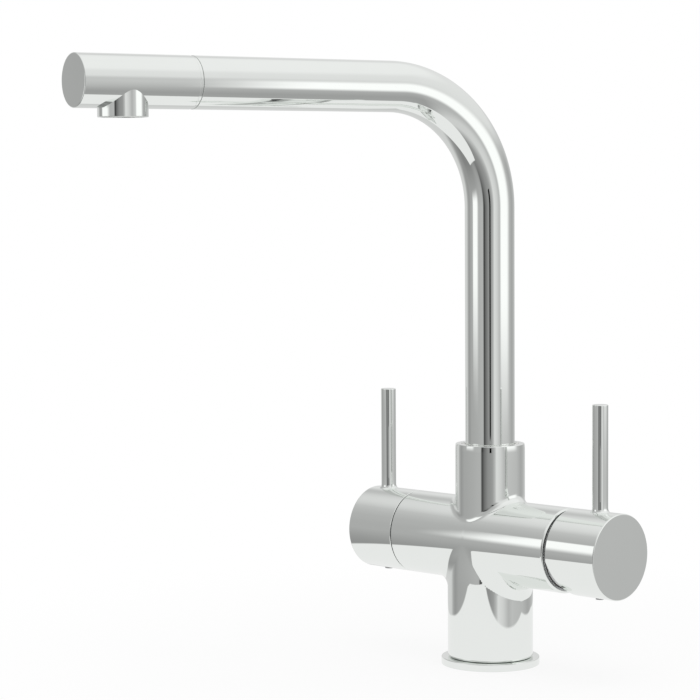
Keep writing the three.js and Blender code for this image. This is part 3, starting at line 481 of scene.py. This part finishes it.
def knob(rim, end, floor, hub_rim):
    """A hollow knob with a hub in it, drawn about Z with the rim at the bottom."""
    shape = revolve([(HUB_BORE, hub_rim, 0), (HUB, hub_rim, 0.3), (HUB, floor, 0.6), (KNOB_BORE, floor, 1.0),
                     (KNOB_BORE, rim, 0.2), (BARREL, rim, 0.35), (BARREL, end, 0.6), (0, end, 0)])
    # Painted shade: the knob's inside takes the darker copy of chrome.
    return shape.inner(SHADED_IN_GAP, BARREL - 0.4, below=end - 1)


def relieved(shape, rim, length):
    """A knob whose rim is cut on a slope on its lower side, +X as drawn, so that it can tilt."""
    slope = length / (BARREL - RELIEF_START)
    facing = unit(np.array([slope, 0, -1.0]))
    edge = 0.6  # a little more than the rim's rounding
    for i, (x, y, z) in enumerate(shape.verts):
        if x > RELIEF_START and z < rim + edge:
            outward, down = shape.normals[i] * (1, 1, 0), max(0.0, -shape.normals[i][2])
            shape.verts[i] = np.array([x, y, z + slope * (x - RELIEF_START)])
            shape.normals[i] = unit(outward + down * facing)
    return shape


def on_barrel(radius, rise, angle):
    """A point round a lever's foot, at a height above the knob's round back."""
    y = radius * math.sin(angle)
    return np.array([radius * math.cos(angle), y, math.sqrt(BARREL**2 - y * y) + rise])


def lever(side):
    """A round lever whose foot flares onto the knob."""
    steps, around, nudge = 8, ROUND // 2, 0.01
    flare = []
    for turn in np.linspace(0, math.pi / 2, steps + 1):
        flare.append((LEVER + LEVER_FLARE * (1 - math.sin(turn)),
                      LEVER_FLARE_HEIGHT * (1 - math.cos(turn)) - LEVER_SUNK))
    rings = []
    for k, here in enumerate(flare):
        below, above = flare[max(k - 1, 0)], flare[min(k + 1, steps)]
        points = []
        for angle in turns(around):
            along = on_barrel(*above, angle) - on_barrel(*below, angle)
            across = on_barrel(*here, angle + nudge) - on_barrel(*here, angle - nudge)
            points.append((on_barrel(*here, angle), unit(np.cross(across, along))))
        rings.append(points)
    rod_start, top = BARREL + 7.5, BARREL + LEVER_LENGTH
    for (r, z), normal in rounded([(LEVER, rod_start, 0), (LEVER, top, 0.5), (0, top, 0)]):
        rings.append(ring(r, normal, Z * z, around=around))
    return skin(rings).moved(shift=(side * LEVER_X, 0, AXIS))


def make_knobs():
    rim = 57.5
    mixer = relieved(knob(rim=rim, end=89.5, floor=70.0, hub_rim=61.5), rim, length=7.6)
    on_handle_axis(mixer, 1).build("mixer_handle_knob", "mixer_handle", "mixer_knob")
    valve = knob(rim=53.6, end=85.5, floor=66.0, hub_rim=61.0)
    on_handle_axis(valve, -1).build("filter_handle_knob", "filter_handle", "filter_knob")


def make_levers():
    for side, name in HANDLES:
        lever(side).build(name + "_handle_lever", name + "_handle", name + "_lever")


def make_plugs():
    """The plugs under the knobs, over the grub screws that hold them."""
    for side, name in HANDLES:
        plug = screw(bottom=18.4, top=BARREL + 0.8, recess=0.9, depth=0.35)
        plug.moved(DOWNWARDS, (side * LEVER_X, 0, AXIS)).build(
            name + "_handle_plug", name + "_handle", name + "_screw_plug", "grey_plastic")


# ---- Spout ---------------------------------------------------------------------------------------


def swung(shape):
    """From the spout drawn towards -Y to its place at rest."""
    c, s = math.cos(SWING), math.sin(SWING)
    return shape.moved(np.array([[c, -s, 0], [s, c, 0], [0, 0, 1]]))


def on_arm(shape):
    """A shape drawn about Z from the riser's axis, laid along the arm."""
    return swung(shape.moved(TO_FRONT, (0, 0, ARM_HEIGHT)))


def on_outlet(shape):
    """A shape drawn about Z from the collar's rim, moved to the outlet."""
    return swung(shape.moved(shift=(0, -OUTLET_REACH, OUTLET_RIM)))


def route(s):
    """The place on the spout's centre line at a distance from the tube's foot, and how far it has bent."""
    if s <= RISER:
        return Z * (TUBE_FOOT + s), 0.0
    if s <= RISER + CURVE:
        bent = (s - RISER) / BEND
        return np.array([0, BEND * (math.cos(bent) - 1), ARM_HEIGHT - BEND + BEND * math.sin(bent)]), bent
    return np.array([0, RISER + CURVE - BEND - s, ARM_HEIGHT]), math.pi / 2


def along_route(profile):
    """A profile of (radius, distance, rounding) carried along the spout's centre line."""
    stops = np.linspace(RISER, RISER + CURVE, BEND_STEPS + 1)
    points = rounded(profile)
    dense = [points[0]]
    for (place, normal), after in zip(points, points[1:]):
        dense.extend((np.array([place[0], s]), normal) for s in stops if place[1] < s < after[0][1])
        dense.append(after)
    rings = []
    for (radius, s), normal in dense:
        centre, bent = route(s)
        over = np.array([0, math.cos(bent), math.sin(bent)])
        forward = np.array([0, -math.sin(bent), math.cos(bent)])
        rings.append(ring(radius, normal, centre, over, forward))
    return skin(rings)


def make_tube_and_head():
    length = RISER + CURVE + TUBE_END - BEND
    bore = TUBE - TUBE_WALL
    tube = along_route([(bore, 0, 0), (TUBE, 0, 0.3), (TUBE, length, 0.22), (TUBE - 1.2, length, 0)])
    swung(tube).build("spout_riser_and_arm", "spout", "spout_tube")
    head = revolve([(bore, HEAD_START, 0), (TUBE, HEAD_START, 0.22), (TUBE, ARM_LENGTH, 0.55),
                    (0, ARM_LENGTH, 0)])
    on_arm(head).build("spout_head_shell", "spout", "spout_head")
    # The thin ring in the joint between arm and head, a little below their surface.
    inner, outer = bore - 0.2, TUBE - 0.25
    start, end = TUBE_END + 0.05, HEAD_START - 0.05
    joint = revolve([(inner, start, 0), (outer, start, 0.2), (outer, end, 0.2), (inner, end, 0)])
    on_arm(joint).build("spout_joint_ring", "spout", "head_adapter")


def bar(inner, outer, half_width, low, high, angle):
    """A thin bar of the aerator that runs outwards from the axis, open at its ends and on top."""
    c, s = math.cos(angle), math.sin(angle)

    def place(r, side, z):
        return (r * c - side * s, r * s + side * c, z)

    shape = Shape().add([place(inner, -half_width, low), place(outer, -half_width, low),
                         place(outer, half_width, low), place(inner, half_width, low)],
                        [(3, 2, 1, 0)], [-Z] * 4)
    for side in (-1, 1):
        wall = [place(r, side * half_width, z)
                for r, z in ((inner, low), (outer, low), (outer, high), (inner, high))]
        shape.add(wall, [(0, 1, 2, 3) if side < 0 else (3, 2, 1, 0)], [(-s * side, c * side, 0)] * 4)
    return shape


def make_outlet():
    """Collar, aerator and filtered water nozzle. Heights are depths inside the collar's rim."""
    collar = revolve([(COLLAR_BORE, 6.0, 0), (COLLAR_BORE, 0, 0.2), (COLLAR, 0, 0.4), (COLLAR, 13.0, 0)])
    on_outlet(collar).build("spout_outlet_collar", "spout", "outlet_collar")

    around, bars = 96, 20
    floor, grid, back = 2.6, 0.95, 4.0
    rim_inner, rim_outer = 9.5, COLLAR_BORE - CLEARANCE
    centre_inner, centre_outer = 4.3, 5.3
    half_ring, half_bar = 0.2, 0.19  # half of a ring's and of a bar's thickness
    aerator = revolve([(rim_inner, floor, 0), (rim_inner, 0.75, 0.1), (rim_outer, 0.6, 0.25),
                       (rim_outer, back, 0)], around)
    aerator.join(revolve([(centre_inner, back, 0), (centre_inner, 0.7, 0.1), (centre_outer, 0.7, 0.15),
                          (centre_outer, floor, 0), (rim_inner, floor, 0)], around))
    for middle in (6.7, 8.1):
        a, b = middle - half_ring, middle + half_ring
        aerator.join(revolve([(a, floor, 0), (a, grid, 0.08), (b, grid, 0.08), (b, floor, 0)], around))
    for angle in turns(bars):
        aerator.join(bar(centre_outer - 0.1, rim_inner + 0.1, half_bar, grid, floor, angle))
    on_outlet(aerator).build("outlet_aerator", "spout", "aerator_insert", "white_plastic")

    bore, outside, top = 2.6, 4.0, 5.0
    nozzle = revolve([(0, top, 0), (bore, top, 0), (bore, 0.6, 0.2), (outside, 0.6, 0.3),
                      (outside, top, 0)], 64)
    on_outlet(nozzle).build("outlet_filter_nozzle", "spout", "filter_nozzle", "grey_plastic")


make_casting()
make_base_ring()
make_slip_ring()
make_cartridge_trim()
make_lock_screw()
make_knobs()
make_levers()
make_plugs()
make_tube_and_head()
make_outlet()


# ---- Shader nodes --------------------------------------------------------------------------------


def add_node(tree, kind, inputs, **settings):
    """A node whose inputs, by name or number, are set to a value or linked to a socket."""
    node = tree.nodes.new(kind)
    for key, value in settings.items():
        setattr(node, key, value)
    for key, value in inputs.items():
        if isinstance(value, bpy.types.NodeSocket):
            tree.links.new(value, node.inputs[key])
        else:
            node.inputs[key].default_value = value
    return node


def maths(tree, operation, *values):
    return add_node(tree, "ShaderNodeMath", dict(enumerate(values)), operation=operation).outputs[0]


def spread(tree, value, start, end, low, high, soft=False):
    """The value's range from start to end, carried to low to high."""
    inputs = {"Value": value, "From Min": start, "From Max": end, "To Min": low, "To Max": high}
    way = "SMOOTHSTEP" if soft else "LINEAR"
    return add_node(tree, "ShaderNodeMapRange", inputs, interpolation_type=way).outputs["Result"]


def blend(tree, factor, a, b):
    """A mix of two colours."""
    return add_node(tree, "ShaderNodeMix", {"Factor": factor, 6: a, 7: b}, data_type="RGBA").outputs[2]


def mixed(tree, factor, a, b):
    """A mix of two shaders."""
    return add_node(tree, "ShaderNodeMixShader", {0: factor, 1: a, 2: b}).outputs[0]


def ramp(tree, value, stops):
    """A colour ramp from (position, colour) stops."""
    node = add_node(tree, "ShaderNodeValToRGB", {"Fac": value})
    elements = node.color_ramp.elements
    while len(elements) < len(stops):
        elements.new(0.5)
    for element, (position, colour) in zip(elements, stops):
        element.position = position
        element.color = (*colour, 1)
    return node.outputs["Color"]


def coordinates(tree, kind):
    return tree.nodes.new("ShaderNodeTexCoord").outputs[kind]


def mirrored(tree):
    """1 for what chrome or glass shows."""
    path = tree.nodes.new("ShaderNodeLightPath").outputs
    return maths(tree, "MAXIMUM", path["Is Glossy Ray"], path["Is Transmission Ray"])


def seen_directly(tree):
    """1 for what the camera sees without a mirror."""
    return tree.nodes.new("ShaderNodeLightPath").outputs["Is Camera Ray"]


# ---- Materials -----------------------------------------------------------------------------------

NOISE_LOW, NOISE_HIGH = 0.3, 0.7  # the part of a noise's range that is used


def noise(tree, place, scale, detail=3.0, stretch=None):
    if stretch:
        place = add_node(tree, "ShaderNodeMapping", {"Vector": place, "Scale": stretch}).outputs["Vector"]
    inputs = {"Vector": place, "Scale": scale, "Detail": detail}
    return add_node(tree, "ShaderNodeTexNoise", inputs).outputs["Fac"]


def tint(tree, value, dark, light):
    return ramp(tree, value, [(NOISE_LOW, dark), (NOISE_HIGH, light)])


def bump(tree, shader, height, strength, distance):
    inputs = {"Strength": strength, "Distance": distance, "Height": height}
    tree.links.new(add_node(tree, "ShaderNodeBump", inputs).outputs["Normal"], shader.inputs["Normal"])


def new_material(name):
    made = bpy.data.materials.new(name)
    made.use_nodes = True
    tree = made.node_tree
    return made, tree, tree.nodes["Principled BSDF"], coordinates(tree, "Object")


def surface(name, dark, light, rough, metallic=0.0, cloud=60.0, grain=900.0, depth=0.00002,
            stretch=None, wear=None, coat=0.0):
    """A finish whose colour, roughness and fine relief vary by noise in the piece's own space."""
    made, tree, shader, place = new_material(name)
    fine = noise(tree, place, grain, 4.0, stretch)
    colour = tint(tree, noise(tree, place, cloud), dark, light)
    if wear:
        edge = tree.nodes.new("ShaderNodeNewGeometry").outputs["Pointiness"]
        colour = blend(tree, spread(tree, edge, 0.52, 0.62, 0.0, 1.0), colour, (*wear, 1))
    tree.links.new(colour, shader.inputs["Base Color"])
    tree.links.new(spread(tree, fine, NOISE_LOW, NOISE_HIGH, *rough), shader.inputs["Roughness"])
    shader.inputs["Metallic"].default_value = metallic
    shader.inputs["Coat Weight"].default_value = coat
    bump(tree, shader, fine, 0.25, depth)
    return made


def chrome_finish():
    """Bright chrome plate: faint wipe marks in the gloss, and a cast surface's slow waviness."""
    made, tree, shader, place = new_material("chrome")
    haze = noise(tree, place, 35.0, 5.0, (1.0, 1.0, 0.6))
    marks = noise(tree, place, 260.0, 6.0, (1.0, 1.0, 0.12))
    wiped = maths(tree, "MULTIPLY", haze, marks)
    tree.links.new(spread(tree, wiped, 0.12, 0.42, 0.010, 0.035), shader.inputs["Roughness"])
    tree.links.new(tint(tree, haze, (0.872, 0.896, 0.874), (0.886, 0.908, 0.888)),
                   shader.inputs["Base Color"])
    shader.inputs["Metallic"].default_value = 1.0
    bump(tree, shader, noise(tree, place, 48.0, 2.0), 0.06, 0.0002)
    return made


FINISHES = {
    "chrome": chrome_finish(),
    "brass": surface("brass", (0.60, 0.42, 0.18), (0.74, 0.55, 0.27), rough=(0.22, 0.38), metallic=1.0,
                     cloud=40, grain=700, depth=0.00003, wear=(0.85, 0.70, 0.42)),
    "steel": surface("steel", (0.50, 0.50, 0.50), (0.62, 0.62, 0.61), rough=(0.20, 0.34), metallic=1.0,
                     cloud=55, grain=500, stretch=(1, 1, 12), wear=(0.75, 0.75, 0.74)),
    "rubber": surface("rubber", (0.012, 0.012, 0.013), (0.028, 0.028, 0.030), rough=(0.55, 0.75),
                      cloud=70, grain=1600, depth=0.00004),
    "white_plastic": surface("white_plastic", (0.74, 0.74, 0.72), (0.82, 0.82, 0.80), rough=(0.32, 0.46),
                             cloud=80, grain=1200),
    "grey_plastic": surface("grey_plastic", (0.33, 0.335, 0.34), (0.41, 0.415, 0.42), rough=(0.36, 0.50),
                            cloud=80, grain=1300, depth=0.00003),
    "ceramic": surface("ceramic", (0.78, 0.77, 0.74), (0.86, 0.85, 0.82), rough=(0.10, 0.20),
                       cloud=50, grain=800, depth=0.00001, coat=0.3),
}
# A duller, darker copy of chrome: painted shade on the faces inside gaps, bores and the knobs' hollows.
DEEP_GAP_SHADE = surface("chrome_painted_deep_gap_shade", (0.30, 0.31, 0.31), (0.40, 0.41, 0.41), rough=(0.28, 0.42), metallic=1.0,
              cloud=55, grain=600)
# A dimmer, half-matt copy of chrome: painted even mid-grey shade for the trim in the knob's gap and for the
# barrel's end beside it.
MID_GAP_SHADE = surface("chrome_painted_mid_gap_shade", (0.60, 0.61, 0.61), (0.68, 0.69, 0.69), rough=(0.25, 0.35), metallic=0.5,
                cloud=55, grain=600)

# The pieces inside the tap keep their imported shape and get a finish.
INSIDE = {
    "brass": ["cartridge_nut", "cartridge_stem", "filter_valve_body", "filter_valve_spindle", "swivel_stub",
              "filter_tube_ferrule"],
    "steel": ["stem_pivot_pin", "mixer_grub_screw", "filter_grub_screw"],
    "rubber": ["base_seal", "cartridge_port_seal", "filter_valve_seal", "lower_o_ring", "upper_o_ring",
               "head_o_ring"],
    "white_plastic": ["cartridge_base", "cartridge_housing", "disc_carrier", "filter_water_tube"],
    "grey_plastic": ["cartridge_turret"],
    "ceramic": ["mixer_fixed_disc", "mixer_moving_disc", "filter_fixed_disc", "filter_moving_disc"],
}
for slot, members in INSIDE.items():
    for node in members:
        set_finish(nodes[node], slot)

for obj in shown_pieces():
    obj.data.materials.clear()
    # The cartridge trim takes the painted mid-grey shade in place of its own chrome.
    obj.data.materials.append(MID_GAP_SHADE if obj.name == "cartridge_trim" else FINISHES[obj["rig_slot"]])
    if obj.name in LOOKS:
        # The two painted shades, in the order of the looks: the darker copy of chrome inside a gap, then the
        # mid-grey one at a gap's edge.
        obj.data.materials.append(DEEP_GAP_SHADE)
        obj.data.materials.append(MID_GAP_SHADE)
        obj.data.polygons.foreach_set("material_index", LOOKS[obj.name])


# ---- Studio: the floor, soft boxes, and the greys of the room that the chrome mirrors ------------

PHOTO_AZIMUTH = math.radians(41.644)  # the camera's direction round the tap
CHROME_LEVEL = 0.9  # how bright the chrome shows what it mirrors
LAMP_LEVEL = 0.8  # how brightly the room lights matt things

# Greys of the room by direction, as (degrees, screen grey). At eye level and far below the horizon the
# degrees go round the tap from the camera's side, positive towards image right.
EYE_LEVEL = [(-180, 210), (-130, 205), (-120, 165), (-110, 150), (-95, 168), (-42, 178), (-31, 180),
             (-28, 80), (-25, 50), (-20, 100), (-7, 140), (8, 150), (16, 182), (21, 220), (34, 207),
             (50, 175), (62, 195), (98, 186), (121, 164), (132, 168), (180, 210)]
FAR_BELOW = [(-180, 205), (-135, 205), (-114, 150), (-88, 130), (-60, 132), (-40, 150), (-25, 125),
             (0, 145), (24, 204), (38, 204), (66, 155), (120, 165), (180, 205)]
# In the room's upper part they go up from the horizon: on image left, on image right and behind the tap.
LEFT_WALL = [(14, 172), (26, 175), (34, 182), (40, 190), (46, 212), (52, 225), (90, 230)]
RIGHT_WALL = [(8, 214), (20, 220), (35, 223), (46, 234), (60, 235), (90, 230)]
BACK_WALL = [(6, 222), (14, 219), (36, 222), (50, 228), (90, 230)]

FLOOR_HEIGHT, FLOOR_REACH = -0.1, 6000.0  # in millimetres
TABLE_GREY = 231
# The table top that the tap's underside mirrors: an outward direction and a distance in metres each.
TABLE_EDGES = [(1, 0, 0.146), (0.469, 0.883, 0.174), (0, 1, 0.19), (-1, 0, 0.163),
               (-0.96, -0.28, 0.168), (0, -1, 0.33)]


def grey(screen):
    """The linear colour of a screen grey from 0 to 255, as it stands before the chrome dims it."""
    v = screen / 255.0
    linear = v / 12.92 if v <= 0.04045 else ((v + 0.055) / 1.055) ** 2.4
    return (linear / CHROME_LEVEL,) * 3


def levels(tree, degrees, stops, first, last):
    """A ramp through (degrees, screen grey) stops, for degrees from first to last."""
    return ramp(tree, spread(tree, degrees, first, last, 0.0, 1.0),
                [((angle - first) / (last - first), grey(screen)) for angle, screen in stops])


def xyz(tree, kind):
    """The x, y and z of a texture coordinate."""
    return add_node(tree, "ShaderNodeSeparateXYZ", {0: coordinates(tree, kind)}).outputs


def dot(tree, x, y, cx, cy):
    return maths(tree, "ADD", maths(tree, "MULTIPLY", x, cx), maths(tree, "MULTIPLY", y, cy))


def build_world():
    world = bpy.data.worlds.new("studio")
    bpy.context.scene.world = world
    world.use_nodes = True
    tree = world.node_tree
    tree.nodes.clear()
    x, y, z = xyz(tree, "Generated")
    c, s = math.cos(PHOTO_AZIMUTH), math.sin(PHOTO_AZIMUTH)
    to_right, to_camera = dot(tree, x, y, c, s), dot(tree, x, y, s, -c)
    turn = maths(tree, "MULTIPLY", maths(tree, "ARCTAN2", to_right, to_camera), 180 / math.pi)
    rise = maths(tree, "MULTIPLY", maths(tree, "ARCSINE", z), 180 / math.pi)

    # The three walls blend into each other where they meet.
    left, right, back = (levels(tree, rise, wall, 0, 90) for wall in (LEFT_WALL, RIGHT_WALL, BACK_WALL))
    rightness = spread(tree, to_right, -0.25, 0.25, 0.0, 1.0, soft=True)
    backness = spread(tree, to_camera, -0.95, -0.75, 1.0, 0.0, soft=True)
    upper = blend(tree, backness, blend(tree, rightness, left, right), back)
    # So do the heights, over these degrees above the horizon.
    eye_level, far_below = (levels(tree, turn, greys, -180, 180) for greys in (EYE_LEVEL, FAR_BELOW))
    lower = blend(tree, spread(tree, rise, -40, -1, 1.0, 0.0), eye_level, far_below)
    room = blend(tree, spread(tree, rise, 7, 20, 0.0, 1.0, soft=True), lower, upper)

    seen = blend(tree, mirrored(tree), (LAMP_LEVEL,) * 3 + (1,), room)
    shown = blend(tree, seen_directly(tree), seen, (1, 1, 1, 1))
    light = add_node(tree, "ShaderNodeBackground", {"Color": shown}).outputs[0]
    add_node(tree, "ShaderNodeOutputWorld", {"Surface": light})


def stage_mesh(name, corners, material):
    """A flat piece of the stage through its corners."""
    mesh = bpy.data.meshes.new(name)
    mesh.from_pydata([tuple(c / METRE for c in corner) for corner in corners], [], [(0, 1, 2, 3)])
    mesh.materials.append(material)
    obj = bpy.data.objects.new(name, mesh)
    bpy.context.scene.collection.objects.link(obj)
    return obj


def stage_material(name):
    made = bpy.data.materials.new(name)
    made.use_nodes = True
    made.node_tree.nodes.clear()
    return made, made.node_tree


def glow(tree, colour):
    return add_node(tree, "ShaderNodeEmission", {"Color": (*colour, 1)}).outputs[0]


def see_through(tree):
    return tree.nodes.new("ShaderNodeBsdfTransparent").outputs[0]


def soft_glow(name, screen, sides, bottom, top):
    """A glow that fades out towards the card's sides, bottom and top, each by a share of its size."""
    made, tree = stage_material(name)
    across, _, upward = xyz(tree, "Generated")
    mask = 1.0
    for place, start, end in ((across, 0.0, sides[0]), (across, 1.0, 1.0 - sides[1]),
                              (upward, 0.0, bottom), (upward, 1.0, 1.0 - top)):
        mask = maths(tree, "MULTIPLY", mask, spread(tree, place, start, end, 0.0, 1.0, soft=True))
    shader = mixed(tree, mask, see_through(tree), glow(tree, grey(screen)))
    add_node(tree, "ShaderNodeOutputMaterial", {"Surface": shader})
    return made


def card(name, centre, across, half_width, low, high, screen, sides, bottom, top):
    """An upright glowing card in the studio, which only reflections show."""
    reach = unit(np.array(across, float)) * half_width
    (ax, ay), (bx, by) = centre - reach, centre + reach
    obj = stage_mesh(name, [(ax, ay, low), (bx, by, low), (bx, by, high), (ax, ay, high)],
                     soft_glow(name, screen, sides, bottom, top))
    for flag in ("visible_camera", "visible_diffuse", "visible_transmission", "visible_shadow",
                 "visible_volume_scatter"):
        setattr(obj, flag, False)


def bearing(degrees, distance):
    """A place at an angle from the camera's side, positive towards image right."""
    angle = PHOTO_AZIMUTH - math.pi / 2 + math.radians(degrees)
    return np.array([math.cos(angle) * distance, math.sin(angle) * distance])


def build_cards():
    card("soft_box_left", (-283, -490), (1, 0), half_width=205, low=75, high=375,
         screen=252, sides=(0.26, 0.26), bottom=0.42, top=0.14)
    centre = bearing(75, 500)
    card("soft_box_right", centre, (-centre[1], centre[0]), half_width=285, low=48, high=490,
         screen=254, sides=(0.39, 0.19), bottom=0.31, top=0.36)
    centre = bearing(1.5, 1300)
    card("dark_card", centre, (-centre[1], centre[0]), half_width=80, low=-15, high=300,
         screen=8, sides=(0.12, 0.12), bottom=0.02, top=0.02)


def build_floor():
    """A pale floor: white to the camera but for the tap's soft shadow. In gloss only its table shows."""
    made, tree = stage_material("floor")
    x, y, _ = xyz(tree, "Object")
    table, blur = 1.0, 0.004
    for nx, ny, reach in TABLE_EDGES:
        edge = spread(tree, dot(tree, x, y, nx, ny), reach - blur, reach + blur, 1.0, 0.0)
        table = maths(tree, "MULTIPLY", table, edge)
    away = add_node(tree, "ShaderNodeVectorMath", {0: coordinates(tree, "Object")}, operation="LENGTH")
    shadow_near, shadow_far = 0.10, 0.40  # metres over which the shadow fades into plain white
    fade = spread(tree, away.outputs["Value"], shadow_near, shadow_far, 0.85, 1.0, soft=True)
    lit = add_node(tree, "ShaderNodeBsdfDiffuse", {"Color": (0.95, 0.95, 0.95, 1)}).outputs[0]
    mirror_view = mixed(tree, table, see_through(tree), glow(tree, grey(TABLE_GREY)))
    other_view = mixed(tree, mirrored(tree), lit, mirror_view)
    camera_view = mixed(tree, fade, lit, glow(tree, (1, 1, 1)))
    shader = mixed(tree, seen_directly(tree), other_view, camera_view)
    add_node(tree, "ShaderNodeOutputMaterial", {"Surface": shader})
    corners = [(FLOOR_REACH * side, FLOOR_REACH * end, FLOOR_HEIGHT)
               for side, end in ((-1, -1), (1, -1), (1, 1), (-1, 1))]
    stage_mesh("floor", corners, made)


def build_lamp():
    """A broad soft lamp overhead, which the chrome doesn't mirror."""
    light = bpy.data.lights.new("overhead", "AREA")
    light.shape = "RECTANGLE"
    light.size = light.size_y = 0.9
    light.energy = 3.0
    obj = bpy.data.objects.new("overhead", light)
    obj.location = (0.25, -0.2, 1.3)
    obj.visible_glossy = False
    obj.rotation_euler = Vector((0.25, -0.25, 1.1)).to_track_quat("Z", "Y").to_euler()
    bpy.context.scene.collection.objects.link(obj)


def build_camera():
    """The photograph's camera, solved from its ellipses and edges. Places are in metres."""
    distance, height = 1.291665, 0.257908
    yaw, pitch, roll = (math.radians(v) for v in (-3.334, -3.893, -0.333))
    c, s = math.cos(PHOTO_AZIMUTH), math.sin(PHOTO_AZIMUTH)
    forward, right, up = Vector((-s, c, 0)), Vector((c, s, 0)), Vector((0, 0, 1))

    def turned(first, second, angle):
        """Two directions at a right angle, turned from the first towards the second."""
        return (first * math.cos(angle) + second * math.sin(angle),
                second * math.cos(angle) - first * math.sin(angle))

    forward, right = turned(forward, right, yaw)
    forward, up = turned(forward, up, pitch)
    right, up = turned(right, up, roll)
    camera = bpy.data.cameras.new("camera")
    camera.sensor_width, camera.lens = 36.0, 123.75
    camera.clip_start, camera.clip_end = 0.05, 50.0
    obj = bpy.data.objects.new("camera", camera)
    place = Matrix.Translation((s * distance, -c * distance, height))
    obj.matrix_world = place @ Matrix((right, up, -forward)).transposed().to_4x4()
    bpy.context.scene.collection.objects.link(obj)
    bpy.context.scene.camera = obj


build_floor()
build_world()
build_cards()
build_lamp()
build_camera()
bpy.context.scene.view_settings.view_transform = "Standard"
